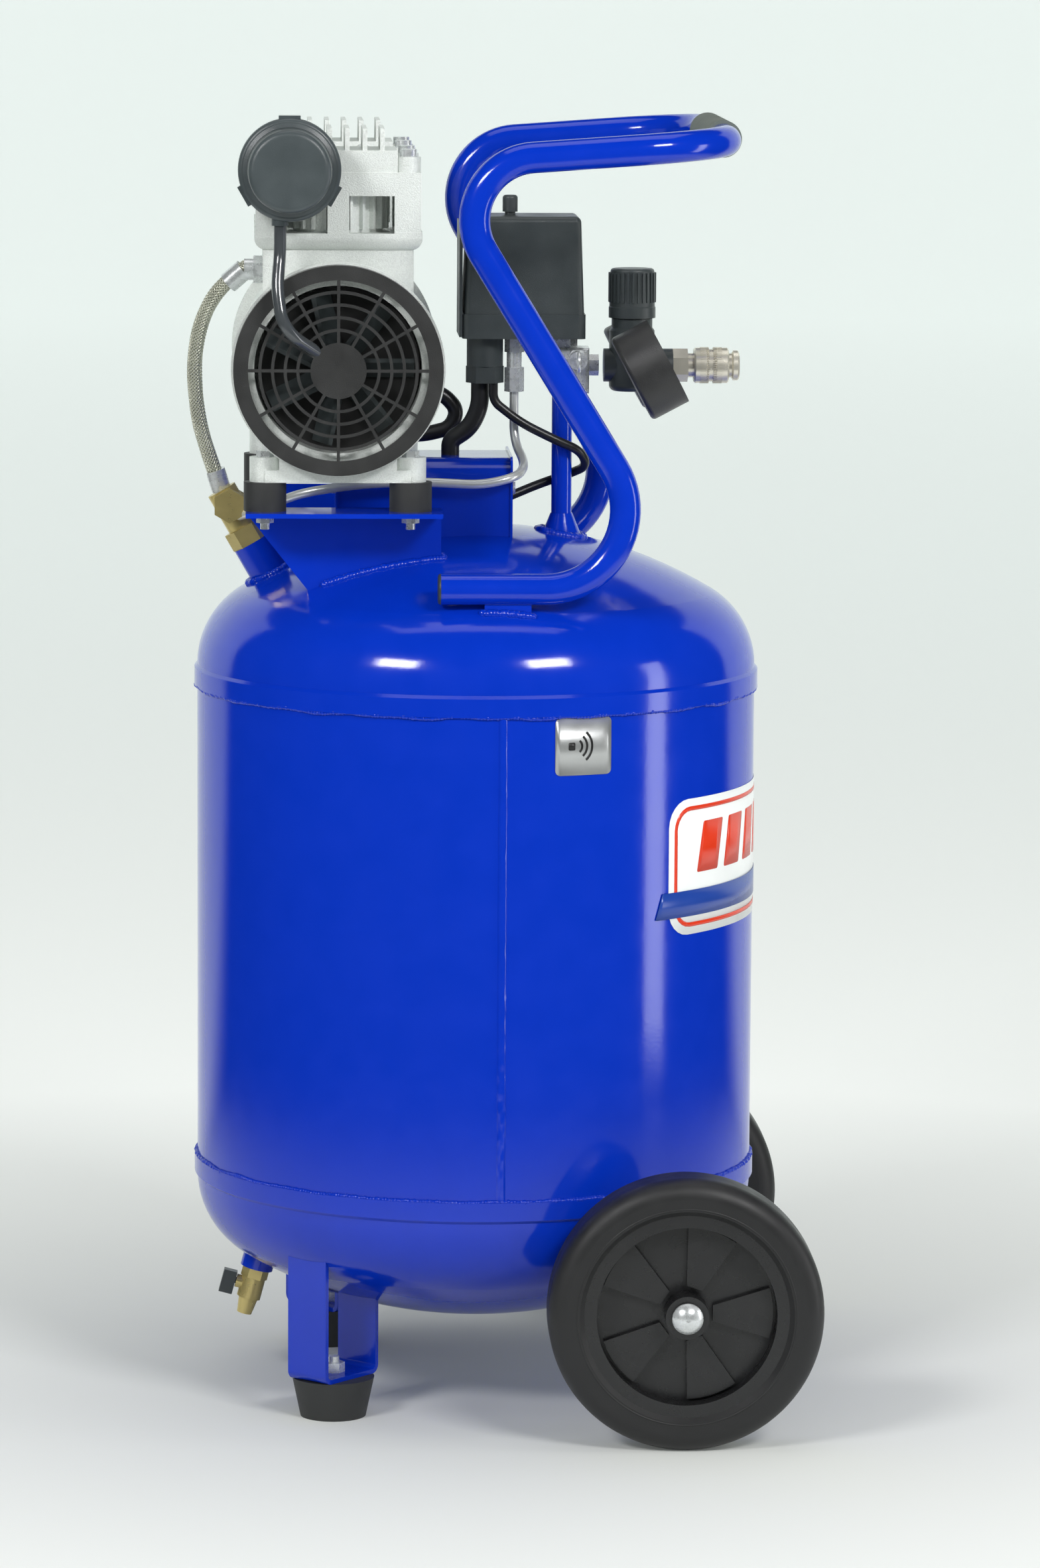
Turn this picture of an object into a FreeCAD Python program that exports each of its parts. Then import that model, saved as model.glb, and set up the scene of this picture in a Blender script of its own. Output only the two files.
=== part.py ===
import FreeCAD, Part
import math
import os
import re

import Sketcher
from FreeCAD import Placement, Rotation, Vector

# Oil-free twin-head workshop air compressor on an upright 50 litre tank.
# Lengths are in millimetres and angles in degrees.  +Z is up, +X is the front
# (regulator, wheels and crossbar of the handle), and Y runs along the motor.
# Heights are measured from the floor, and x and y from the tank's axis; every
# piece is then moved by FRAME_X, so that the origin is under the middle of the
# whole machine.

SIZES = {
    "tank": {
        "tank_radius": 185,
        "tank_wall": 2.5,
        "band_proud": 2,
        "band_height": 14,
        "seam_low": 142,
        "seam_high": 485,
        "head_height": 92,
        "knuckle_radius": 57,
    },
    "wheels": {
        "wheel_radius": 88.9,
        "wheel_width": 44,
        "wheel_forward": 129.8,
        "wheel_side": 203,
        "rim_radius": 66,
        "rim_wall": 8,
        "hub_radius": 14,
        "disc_thickness": 6,
        "sector_raise": 5,
        "axle_radius": 8,
        "running_gap": 0.06,
        "axle_inner_side": 110,
        "axle_cap_radius": 10,
        "axle_sleeve_radius": 12,
        "side_gap": 1.5,
    },
    "feet": {
        "foot_back": 95.3,
        "foot_side": 111,
        "pad_height": 26,
        "pad_top_radius": 27,
        "pad_base_radius": 21.5,
        "strap_width": 32,
        "strap_thickness": 3,
        "strap_reach": 27,
        "bend_radius": 6,
        "foot_bolt_radius": 4,
    },
    "handle": {
        "handle_side": 153,
        "handle_radius": 10,
        "handle_wall": 2,
        "handle_start": -28,
        "handle_foot_height": "=seam_high + 65",
        "handle_knee": 130,
        "handle_back": -36,
        "handle_shoulder_height": "=seam_high + 336",
        "handle_front": 156,
        "handle_top_height": "=seam_high + 350",
        "knee_radius": 51,
        "shoulder_radius": 40,
        "crossbar_radius": 60,
        "grip_half_length": 75,
        "grip_thickness": 2,
        "tab_length": 30,
        "tab_thickness": 6,
    },
    "pump": {
        "pump_back": -93.5,
        "pump_height": "=seam_high + 203",
        "motor_radius": 60,
        "motor_wall": 3,
        "motor_half_length": 40,
        "crankcase_radius": 62,
        "crankcase_end": 118,
        "crankcase_bore": 54,
        "crankcase_web": 8,
        "shroud_proud": 1.5,
        "shroud_depth": 5,
        "bearing_radius": 16,
        "shaft_radius": 6,
        "cylinder_side": 73,
        "crank_throw": 6.5,
        "eccentric_radius": 13.5,
        "eccentric_width": 14,
        "rod_eye_wall": 4,
        "rod_width": 14,
        "rod_thickness": 10,
        "piston_height": 9,
        "bore_radius": 25,
        "piston_radius": "=bore_radius - 0.3",
        "liner_wall": 4,
        "liner_height": 54,
        "fin_reach": 4,
        "neck_width": 97,
        "neck_depth": 66,
        "casing_width": 108,
        "casing_depth": 78,
        "casing_wall": 5,
        "collar_base": "=seam_high + 279",
        "collar_height": 12,
        "casing_top": "=seam_high + 318",
        "window_width": 29,
        "window_height": 24,
        "window_web": 14,
        "gasket_thickness": 2,
        "plate_thickness": 4,
        "head_flange": 5,
        "head_block": 14,
        "head_fin_height": 14,
        "head_fin_pitch": 11.3,
        "head_fin_thickness": 3,
        "head_bolt_x": 45,
        "head_bolt_y": 30,
        "head_bolt_radius": 3,
        "base_height": "=seam_high + 130",
        "mount_offset": 47,
        "mount_side": 107,
        "mount_radius": 13.75,
        "mount_bolt_radius": 3,
        "pad_thickness": 16,
    },
    "fan": {
        "cover_radius": 67.5,
        "cover_depth": 12,
        "cover_rim": 9.5,
        "cover_wall": 3,
        "grille_thickness": 2.4,
        "grille_hub": 18,
        "grille_bar": 2,
        "grille_pitch": 8.1,
        "fan_radius": 50,
        "fan_depth": 15,
        "fan_hub": 13,
        "blade_thickness": 2,
    },
    "filter": {
        "filter_back": -125,
        "filter_height": "=seam_high + 331.5",
        "filter_radius": 33,
        "filter_face_radius": 26.5,
        "filter_front": 165,
        "filter_step": 140,
        "filter_rear": 125,
        "intake_hose_radius": 4,
        "intake_hose_bore": 2.5,
    },
    "platform": {
        "platform_top": "=seam_high + 111",
        "platform_thickness": 3,
        "platform_left": -153,
        "platform_right": -26,
        "platform_outer": 130,
        "platform_inner": 85,
        "cover_left": -94,
        "cover_right": 22,
        "cover_half_depth": 45,
        "cover_top": "=seam_high + 140.5",
        "cover_sheet": 1.5,
        "cover_corner": 18,
        "cover_lip": 8,
        "capacitor_radius": 16,
        "capacitor_length": 74,
    },
    "air line": {
        "riser_forward": 56,
        "riser_radius": 6.75,
        "riser_bore": 4.5,
        "manifold_base": "=seam_high + 180",
        "manifold_height": 30,
        "manifold_length": 26,
        "manifold_depth": 28,
        "outlet_height": "=seam_high + 198",
        "switch_left": -11,
        "switch_right": 70,
        "switch_base_height": "=seam_high + 217",
        "switch_seam": "=seam_high + 233",
        "switch_top": "=seam_high + 297",
        "switch_half_depth": 31,
        "switch_wall": 2.5,
        "switch_draft": 2,
        "switch_knob_x": 21,
        "switch_knob_radius": 5,
        "switch_stem_radius": 3.5,
        "switch_stem_gap": 0.5,
        "regulator_x": 102,
        "regulator_radius": 15,
        "regulator_base": "=seam_high + 181",
        "regulator_top": "=seam_high + 229",
        "regulator_knob_radius": 15.5,
        "regulator_knob_height": 32.5,
        "regulator_knob_travel": 4,
        "regulator_stem_radius": 3,
        "port_radius": 11,
        "gauge_x": 111,
        "gauge_side": 47,
        "gauge_radius": 30,
        "gauge_depth": 27,
        "gauge_tilt": 28,
        "gauge_wall": 2,
        "lens_thickness": 2,
        "coupler_start": 129,
        "coupler_hex_end": 139,
        "coupler_end": 173,
        "coupler_radius": 8,
        "coupler_bore": 5.2,
        "coupler_bore_length": 24,
        "sleeve_start": 143,
        "sleeve_end": 166,
        "sleeve_radius": 11.8,
        "sleeve_gap": 0.35,
        "braided_radius": 5,
        "unloader_radius": 3,
        "unloader_bore": 2,
        "check_back": -138,
        "check_height": "=seam_high + 61",
        "check_tilt": 30,
        "check_radius": 10,
        "drain_back": -143,
        "drain_height": 85,
        "drain_tilt": 15,
        "drain_radius": 8,
        "drain_bore": 3,
        "conduit_radius": 6,
        "motor_lead_radius": 5,
        "cable_radius": 3,
    },
}

doc = FreeCAD.newDocument("AirCompressor")
sheet = doc.addObject("Spreadsheet::Sheet", "Sizes")
sheet_row = 0
for group, values in SIZES.items():
    sheet_row += 1
    sheet.set(f"A{sheet_row}", group)
    for alias, value in values.items():
        sheet_row += 1
        sheet.set(f"A{sheet_row}", alias.replace("_", " "))
        sheet.set(f"B{sheet_row}", str(value))
        sheet.setAlias(f"B{sheet_row}", alias)
doc.recompute()

FRAME_X = "(tank_radius + band_proud - wheel_forward - wheel_radius) / 2"
PARTS = {}

# ---------------------------------------------------------------- helpers


def formula(text):
    """An expression for setExpression, with each word of the sheet given its sheet."""
    return re.sub(r"\b([a-z]+(?:_[a-z0-9]+)+)\b", r"Sizes.\1", str(text))


def number(text):
    """The value of an expression on the sheet."""
    return float(sheet.evalExpression(formula(text)))


def point(x, y, z):
    return Vector(number(x), number(y), number(z))


def bind(thing, **sizes):
    for name, text in sizes.items():
        thing.setExpression(name, formula(text))


def turn_to(axis, roll=0):
    """The rotation that takes +Z to axis, after a turn of roll degrees about +Z."""
    return Rotation(Vector(0, 0, 1), Vector(*axis)).multiply(Rotation(Vector(0, 0, 1), roll))


def place(thing, base=(0, 0, 0), axis=(0, 0, 1), roll=0, rotation=None):
    """Puts an object at base, given from the tank's axis, with its own +Z along axis."""
    thing.Placement = Placement(Vector(0, 0, 0), rotation or turn_to(axis, roll))
    thing.setExpression(".Placement.Base.x", formula(f"{FRAME_X} + {base[0]}"))
    thing.setExpression(".Placement.Base.y", formula(base[1]))
    thing.setExpression(".Placement.Base.z", formula(base[2]))
    return thing


def cylinder(radius, height, base=(0, 0, 0), axis=(0, 0, 1)):
    made = doc.addObject("Part::Cylinder", "Cylinder")
    bind(made, Radius=radius, Height=height)
    return place(made, base, axis)


def cone(radius_base, radius_top, height, base=(0, 0, 0), axis=(0, 0, 1)):
    made = doc.addObject("Part::Cone", "Cone")
    bind(made, Radius1=radius_base, Radius2=radius_top, Height=height)
    return place(made, base, axis)


def hexagon(radius, height, base=(0, 0, 0), axis=(0, 0, 1), roll=0):
    made = doc.addObject("Part::Prism", "Hexagon")
    made.Polygon = 6
    bind(made, Circumradius=radius, Height=height)
    return place(made, base, axis, roll)


def block(low, high, axis=(0, 0, 1), roll=0, base=None):
    """A box from its low corner to its high one, or about base where that is given."""
    made = doc.addObject("Part::Box", "Block")
    spans = [f"({h}) - ({l})" for l, h in zip(low, high)]
    bind(made, Length=spans[0], Width=spans[1], Height=spans[2])
    return place(made, base or low, axis, roll)


def fuse(*things):
    made = doc.addObject("Part::MultiFuse", "Fusion")
    made.Shapes = list(things)
    return made


def cut(base, *tools):
    """base without the tools, which may be shared between cuts."""
    for tool in tools:
        made = doc.addObject("Part::Cut", "Cut")
        made.Base = base
        made.Tool = tool
        base = made
    return base


def rounded(base, radius, choose):
    """base with the edges that choose picks rounded to radius."""
    doc.recompute()
    made = doc.addObject("Part::Fillet", "Rounded")
    made.Base = base
    chosen = [i for i, edge in enumerate(base.Shape.Edges, start=1) if choose(edge)]
    made.Edges = [(i, number(radius), number(radius)) for i in chosen]
    return made


def group(*things):
    made = doc.addObject("Part::Compound", "Group")
    made.Links = list(things)
    return made


def part(label, thing):
    """Names a finished sub-part: its label is the name of its file."""
    thing.Label = label
    PARTS[label] = thing
    return thing


def sketch_on(body, role):
    sketch = body.newObject("Sketcher::SketchObject", "Outline")
    plane = next(item for item in body.Origin.OriginFeatures if item.Role == role)
    sketch.AttachmentSupport = [(plane, "")]
    sketch.MapMode = "FlatFace"
    return sketch


def outline(sketch, points):
    """A closed line through points, each tied to the sheet.

    A point is (x, y), reached by a straight side, or (x, y, radius), reached by an
    arc; a positive radius turns to the left, and a negative one to the right.
    """
    ends = [Vector(number(item[0]), number(item[1]), 0) for item in points]
    sides = []
    for index, item in enumerate(points):
        first, last = ends[index - 1], ends[index]
        if len(item) == 2:
            side = sketch.addGeometry(Part.LineSegment(first, last), False)
            sides.append((side, 1, 2))
            continue
        radius = number(item[2])
        half = (last - first) * 0.5
        across = Vector(-half.y, half.x, 0).normalize()
        rise = math.sqrt(max(radius**2 - half.Length**2, 0))
        centre = first + half + across * math.copysign(rise, radius)
        begin, stop = (first, last) if radius > 0 else (last, first)
        angles = [math.atan2(end.y - centre.y, end.x - centre.x) for end in (begin, stop)]
        if angles[1] < angles[0]:
            angles[1] += 2 * math.pi
        circle = Part.Circle(centre, Vector(0, 0, 1), abs(radius))
        side = sketch.addGeometry(Part.ArcOfCircle(circle, *angles), False)
        sides.append((side, 1, 2) if radius > 0 else (side, 2, 1))
        tie = sketch.addConstraint(Sketcher.Constraint("Radius", side, abs(radius)))
        sketch.setExpression(f"Constraints[{tie}]", formula(f"abs({item[2]})"))
    for index, (side, _, last) in enumerate(sides):
        follower, first, _ = sides[(index + 1) % len(sides)]
        sketch.addConstraint(Sketcher.Constraint("Coincident", side, last, follower, first))
        for kind, text, value in (
            ("DistanceX", points[index][0], ends[index].x),
            ("DistanceY", points[index][1], ends[index].y),
        ):
            tie = sketch.addConstraint(Sketcher.Constraint(kind, -1, 1, side, last, value))
            sketch.setExpression(f"Constraints[{tie}]", formula(text))
    return sketch


def ring(sketch, radius, x=0, y=0):
    """A full circle in a sketch."""
    centre = Vector(number(x), number(y), 0)
    side = sketch.addGeometry(Part.Circle(centre, Vector(0, 0, 1), number(radius)), False)
    tie = sketch.addConstraint(Sketcher.Constraint("Radius", side, number(radius)))
    sketch.setExpression(f"Constraints[{tie}]", formula(radius))
    for kind, text in (("DistanceX", x), ("DistanceY", y)):
        tie = sketch.addConstraint(Sketcher.Constraint(kind, -1, 1, side, 3, number(text)))
        sketch.setExpression(f"Constraints[{tie}]", formula(text))
    return sketch


def turned(points, base=(0, 0, 0), axis=(0, 0, 1), roll=0):
    """A body turned on a lathe: points are (radius, height along axis)."""
    body = doc.addObject("PartDesign::Body", "Turned")
    sketch = outline(sketch_on(body, "XZ_Plane"), points)
    feature = body.newObject("PartDesign::Revolution", "Revolution")
    feature.Profile = sketch
    feature.ReferenceAxis = (sketch, ["V_Axis"])
    feature.Angle = 360
    sketch.Visibility = False
    return place(body, base, axis, roll)


def pad(body, sketch, length, reverse=False, both=False):
    feature = body.newObject("PartDesign::Pad", "Pad")
    feature.Profile = sketch
    bind(feature, Length=length)
    feature.Reversed = reverse
    if both:
        feature.SideType = "Symmetric"
    return feature


def pattern(body, feature, count):
    """The feature repeated round the body's Z axis."""
    repeated = body.newObject("PartDesign::PolarPattern", "Pattern")
    repeated.Originals = [feature]
    axis = next(item for item in body.Origin.OriginFeatures if item.Role == "Z_Axis")
    repeated.Axis = (axis, [""])
    repeated.Angle = 360
    repeated.Occurrences = count
    body.Tip = repeated
    return repeated


def plate(points, thickness, base=(0, 0, 0), rotation=None):
    """A flat piece whose outline lies in X and Z, with thickness shared each side of it."""
    body = doc.addObject("PartDesign::Body", "Plate")
    sketch = outline(sketch_on(body, "XZ_Plane"), points)
    pad(body, sketch, thickness, both=True)
    return place(body, base, rotation=rotation or Rotation())


def run_radius(before, corner, after):
    """The largest even arc at a corner of a free route: 0.45 of the shorter run."""
    first, second = corner - before, after - corner
    half_turn = first.getAngle(second) / 2
    return 0.45 * min(first.Length, second.Length) / math.tan(half_turn)


def route(points, radii=None):
    """A line of straight runs joined by tangent arcs through the corners of points."""
    edges = []
    start = points[0]
    for index in range(1, len(points) - 1):
        corner = points[index]
        inward = (points[index - 1] - corner).normalize()
        outward = (points[index + 1] - corner).normalize()
        radius = radii[index - 1] if radii else run_radius(*points[index - 1 : index + 2])
        half_turn = (math.pi - inward.getAngle(outward)) / 2
        reach = radius * math.tan(half_turn)
        middle = (inward + outward).normalize()
        depth = radius / math.cos(half_turn) - radius
        entry, leave = corner + inward * reach, corner + outward * reach
        edges.append(Part.LineSegment(start, entry).toShape())
        edges.append(Part.Arc(entry, corner + middle * depth, leave).toShape())
        start = leave
    edges.append(Part.LineSegment(start, points[-1]).toShape())
    return Part.Wire(edges)


def swept(path, radius):
    """A round bar along a route."""
    first = path.Edges[0]
    start = first.valueAt(first.FirstParameter)
    along = first.tangentAt(first.FirstParameter)
    section = Part.Wire([Part.Circle(start, along, radius).toShape()])
    made = path.makePipeShell([section], True, False)
    expected = math.pi * radius**2 * path.Length
    if abs(made.Volume / expected - 1) > 0.01:
        raise ValueError("a swept bar doesn't have its section times its length")
    return made


def shaped(shape):
    """A feature that holds a computed shape, moved into the machine's frame."""
    made = doc.addObject("Part::Feature", "Shaped")
    made.Shape = shape
    made.Placement = Placement(Vector(number(FRAME_X), 0, 0), Rotation())
    return made


def tube(points, radius, bore=None, radii=None):
    """A pipe, hose or cable along a route; the places are from the tank's axis."""
    places = [point(*item) for item in points]
    path = route(places, radii)
    bar = swept(path, number(radius))
    if bore is not None:
        bar = bar.cut(swept(path, number(bore)))
    arcs = [edge.Curve.Radius for edge in path.Edges if hasattr(edge.Curve, "Radius")]
    print(f"  route of {path.Length:.0f} mm, arcs {', '.join(f'{r:.0f}' for r in arcs)}")
    return shaped(bar)


def along(base, direction, distance):
    """A place some distance from base, each coordinate an expression."""
    return tuple(f"{b} + ({d}) * ({distance})" for b, d in zip(base, direction))


def both_sides(make):
    """make(side) for the near side, -1, and the far side, +1, as one group."""
    return group(make(-1), make(1))


# ------------------------------------------------------------------- tank

CROWN = (
    "((head_height^2 - knuckle_radius^2 + (tank_radius - knuckle_radius)^2)"
    " / (2 * (head_height - knuckle_radius)))"
)
SPREAD = f"((tank_radius - knuckle_radius) / ({CROWN} - knuckle_radius))"
DROP = f"(({CROWN} - head_height) / ({CROWN} - knuckle_radius))"


def head_outline(seam, side, wall):
    """The joint of knuckle and crown, and the apex, of a dished head set in by wall."""
    joint = (
        f"({CROWN} - {wall}) * {SPREAD}",
        f"{seam} + {side} * (head_height - {CROWN} + ({CROWN} - {wall}) * {DROP})",
    )
    apex = ("0", f"{seam} + {side} * (head_height - {wall})")
    return joint, apex


def dished_head(seam, side):
    """A dished head whose skirt fits over the end of the shell."""
    joint, apex = head_outline(seam, side, "0")
    inner_joint, inner_apex = head_outline(seam, side, "tank_wall")
    return turned(
        [
            ("tank_radius", f"{seam} - {side} * band_height"),
            ("tank_radius + band_proud", f"{seam} - {side} * band_height"),
            ("tank_radius + band_proud", f"{seam} - {side} * band_proud"),
            ("tank_radius", seam),
            (*joint, f"{side} * knuckle_radius"),
            (*apex, f"{side} * {CROWN}"),
            inner_apex,
            (*inner_joint, f"-{side} * ({CROWN} - tank_wall)"),
            ("tank_radius - tank_wall", seam, f"-{side} * (knuckle_radius - tank_wall)"),
            ("tank_radius - tank_wall", f"{seam} - {side} * band_proud / 2"),
            ("tank_radius", f"{seam} - {side} * band_proud / 2"),
        ]
    )


part(
    "tank_shell",
    turned(
        [
            ("tank_radius - tank_wall", "seam_low + band_proud"),
            ("tank_radius", "seam_low + band_proud"),
            ("tank_radius", "seam_high - band_proud"),
            ("tank_radius - tank_wall", "seam_high - band_proud"),
        ]
    ),
)
part("top_head", dished_head("seam_high", 1))
part("bottom_head", dished_head("seam_low", -1))

low_joint, low_apex = head_outline("seam_low", -1, "0")
high_joint, high_apex = head_outline("seam_high", 1, "0")
tank_form = turned(
    [
        low_apex,
        (*low_joint, CROWN),
        ("tank_radius", "seam_low", "knuckle_radius"),
        ("tank_radius", "seam_high"),
        (*high_joint, "knuckle_radius"),
        (*high_apex, CROWN),
    ]
)

# ----------------------------------------------------------------- wheels

wheel_half = "wheel_width / 2"
for name, side in (("near", -1), ("far", 1)):
    centre = ("wheel_forward", f"{side} * wheel_side", "wheel_radius")
    outward = (0, side, 0)
    part(
        f"tyre_{name}",
        turned(
            [
                ("rim_radius", f"-{wheel_half} + 3"),
                ("rim_radius + 3", f"-{wheel_half}"),
                ("wheel_radius - 12", f"-{wheel_half}"),
                ("wheel_radius", f"-{wheel_half} + 12", "12"),
                ("wheel_radius", f"{wheel_half} - 12"),
                ("wheel_radius - 12", wheel_half, "12"),
                ("rim_radius + 3", wheel_half),
                ("rim_radius", f"{wheel_half} - 3"),
            ],
            centre,
            outward,
        ),
    )
    hub = turned(
        [
            ("axle_radius + running_gap", f"-{wheel_half} - 1"),
            ("hub_radius", f"-{wheel_half} - 1"),
            ("hub_radius", "-disc_thickness / 2"),
            ("rim_radius - rim_wall", "-disc_thickness / 2"),
            ("rim_radius - rim_wall", f"-{wheel_half} + 3"),
            ("rim_radius", f"-{wheel_half} + 3"),
            ("rim_radius", f"{wheel_half} - 3"),
            ("rim_radius - rim_wall", f"{wheel_half} - 3"),
            ("rim_radius - rim_wall", "disc_thickness / 2"),
            ("hub_radius", "disc_thickness / 2"),
            ("hub_radius", f"{wheel_half} + 1"),
            ("axle_radius + running_gap", f"{wheel_half} + 1"),
        ],
        centre,
        outward,
    )
    sector = sketch_on(hub, "XY_Plane")
    inner, outer = "hub_radius + 4", "rim_radius - rim_wall - 2"
    outline(
        sector,
        [
            (f"({inner}) * cos(17)", f"({inner}) * sin(-17)"),
            (f"({outer}) * cos(17)", f"({outer}) * sin(-17)"),
            (f"({outer}) * cos(17)", f"({outer}) * sin(17)", outer),
            (f"({inner}) * cos(17)", f"({inner}) * sin(17)"),
        ],
    )
    raised = pad(hub, sector, "disc_thickness / 2 + sector_raise")
    pattern(hub, raised, 5)
    part(f"hub_{name}", hub)

axle_end = "wheel_side + wheel_width / 2 + 2"


def wheel_axle(side):
    stub = cylinder(
        "axle_radius",
        f"{axle_end} + 2 - axle_inner_side",
        ("wheel_forward", f"{side} * axle_inner_side", "wheel_radius"),
        (0, side, 0),
    )
    cap = turned(
        [
            ("0", "2"),
            ("axle_radius", "2"),
            ("axle_radius", "0"),
            ("axle_cap_radius", "0"),
            ("axle_cap_radius", "2"),
            ("0", "7", "(axle_cap_radius^2 + 25) / 10"),
        ],
        ("wheel_forward", f"{side} * ({axle_end})", "wheel_radius"),
        (0, side, 0),
    )
    return group(stub, cap)


part("wheel_axles", both_sides(wheel_axle))

sleeve_outer = "wheel_side - wheel_width / 2 - 1 - side_gap"


def wheel_bracket(side):
    sleeve = cylinder(
        "axle_sleeve_radius",
        f"{sleeve_outer} - 60",
        ("wheel_forward", f"{side} * 60", "wheel_radius"),
        (0, side, 0),
    )
    web = plate(
        [
            ("60", "0"),
            (f"{sleeve_outer} - 4", "0"),
            (f"{sleeve_outer} - 4", "axle_sleeve_radius"),
            ("axle_inner_side", "seam_low - wheel_radius"),
            ("60", "seam_low - wheel_radius"),
        ],
        "6",
        ("wheel_forward", "0", "wheel_radius"),
        Rotation(Vector(0, 0, 1), side * 90),
    )
    bore = cylinder(
        "axle_radius",
        f"{sleeve_outer} + 2 - axle_inner_side",
        ("wheel_forward", f"{side} * axle_inner_side", "wheel_radius"),
        (0, side, 0),
    )
    return cut(fuse(sleeve, web), tank_form, bore)


part("wheel_brackets", both_sides(wheel_bracket))

# ------------------------------------------------------------------- feet

foot_circle = "sqrt(foot_back^2 + foot_side^2)"
strap_inner = f"{foot_circle} - strap_reach"
strap_outer = f"{foot_circle} + strap_reach"
strap_base = "pad_height"
FOOT_ANGLE = math.degrees(math.atan2(number("foot_side"), -number("foot_back")))


def foot_bracket(side):
    """A U-shaped strap that stands in the plane of the tank's axis."""
    inside = "bend_radius - strap_thickness"
    strap = plate(
        [
            (strap_inner, "seam_low"),
            (strap_inner, f"{strap_base} + bend_radius"),
            (f"{strap_inner} + bend_radius", strap_base, "bend_radius"),
            (f"{strap_outer} - bend_radius", strap_base),
            (strap_outer, f"{strap_base} + bend_radius", "bend_radius"),
            (strap_outer, "seam_low"),
            (f"{strap_outer} - strap_thickness", "seam_low"),
            (f"{strap_outer} - strap_thickness", f"{strap_base} + bend_radius"),
            (f"{strap_outer} - bend_radius", f"{strap_base} + strap_thickness", f"-({inside})"),
            (f"{strap_inner} + bend_radius", f"{strap_base} + strap_thickness"),
            (
                f"{strap_inner} + strap_thickness",
                f"{strap_base} + bend_radius",
                f"-({inside})",
            ),
            (f"{strap_inner} + strap_thickness", "seam_low"),
        ],
        "strap_width",
        rotation=Rotation(Vector(0, 0, 1), side * FOOT_ANGLE),
    )
    hole = cylinder(
        "foot_bolt_radius",
        "strap_thickness * 3",
        ("-foot_back", f"{side} * foot_side", f"{strap_base} - strap_thickness"),
    )
    return cut(strap, tank_form, hole)


def foot_pad(side):
    centre = ("-foot_back", f"{side} * foot_side")
    body = cone("pad_base_radius", "pad_top_radius", "pad_height", (*centre, "0"))
    recess = cylinder("foot_bolt_radius * 2.2", "pad_height / 3", (*centre, "0"))
    bore = cylinder("foot_bolt_radius", "pad_height", (*centre, "0"))
    return cut(body, recess, bore)


part("foot_brackets", both_sides(foot_bracket))
part("foot_pads", both_sides(foot_pad))


def bolt(radius, where, seat, end, nut_seat):
    """A hexagon bolt and its nut on an upright axis, as two solids.

    The head stands on seat, the shank runs to end, and the nut is tight on nut_seat.
    A bolt whose end is above its seat points up.
    """
    up = number(end) > number(seat)
    head_height, nut_height = f"{radius} * 1.3", f"{radius} * 1.6"
    head = hexagon(
        f"{radius} * 1.9",
        head_height,
        (*where, f"{seat} - {head_height}" if up else seat),
    )
    shank = cylinder(radius, f"abs(({seat}) - ({end}))", (*where, seat if up else end))
    nut = hexagon(
        f"{radius} * 1.9",
        nut_height,
        (*where, nut_seat if up else f"{nut_seat} - {nut_height}"),
    )
    return [fuse(head, shank), cut(nut, shank)]


foot_bolts = []
for side in (-1, 1):
    foot_bolts += bolt(
        "foot_bolt_radius",
        ("-foot_back", f"{side} * foot_side"),
        "pad_height / 3",
        "pad_height + strap_thickness + foot_bolt_radius * 2.6",
        "pad_height + strap_thickness",
    )

# ----------------------------------------------------------------- handle

handle_side_points = [
    ("handle_start", "handle_foot_height"),
    ("handle_knee", "handle_foot_height"),
    ("handle_back", "handle_shoulder_height"),
    ("handle_front", "handle_top_height"),
]
handle_points = [(x, "-handle_side", z) for x, z in handle_side_points]
handle_points += [(x, "handle_side", z) for x, z in reversed(handle_side_points)]
bends = ["knee_radius", "shoulder_radius", "crossbar_radius"]
handle_bends = [number(item) for item in bends + bends[::-1]]
handle_path = route([point(*item) for item in handle_points], handle_bends)
handle_bar = swept(handle_path, number("handle_radius"))
handle_bore = swept(handle_path, number("handle_radius - handle_wall"))
handle_tube = part("handle_tube", shaped(handle_bar.cut(handle_bore)))
handle_form = shaped(handle_bar)


def handle_cap(side):
    return turned(
        [
            ("0", "-2"),
            ("handle_radius - 2", "-2"),
            ("handle_radius", "0", "2"),
            ("handle_radius - handle_wall", "0"),
            ("handle_radius - handle_wall", "8"),
            ("0", "8"),
        ],
        ("handle_start", f"{side} * handle_side", "handle_foot_height"),
        (1, 0, 0),
    )


part("handle_caps", both_sides(handle_cap))
grip_outer = cylinder(
    "handle_radius + grip_thickness",
    "2 * grip_half_length",
    ("handle_front", "-grip_half_length", "handle_top_height"),
    (0, 1, 0),
)
grip_bore = cylinder(
    "handle_radius",
    "2 * grip_half_length",
    ("handle_front", "-grip_half_length", "handle_top_height"),
    (0, 1, 0),
)
part("handle_grip", cut(grip_outer, grip_bore))


def handle_tab(side):
    tab = block(
        (0, f"{side} * handle_side - tab_thickness / 2", "seam_high"),
        ("tab_length", f"{side} * handle_side + tab_thickness / 2", "handle_foot_height"),
    )
    return cut(tab, tank_form, handle_form)


handle_tabs = [handle_tab(-1), handle_tab(1)]

# ------------------------------------------------------- pump: castings


def pump_place(side, reach):
    return ("pump_back", f"{side} * ({reach})", "pump_height")


part(
    "motor_case",
    turned(
        [
            ("motor_radius - motor_wall", "-motor_half_length"),
            ("motor_radius", "-motor_half_length"),
            ("motor_radius", "motor_half_length"),
            ("motor_radius - motor_wall", "motor_half_length"),
        ],
        pump_place(1, 0),
        (0, 1, 0),
    ),
)
casing_floor = "collar_base + collar_height"
liner_base = "casing_top - liner_height"
liner_outer = "bore_radius + liner_wall"


def span(centre, half):
    return f"{centre} - ({half})", f"{centre} + ({half})"


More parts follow.
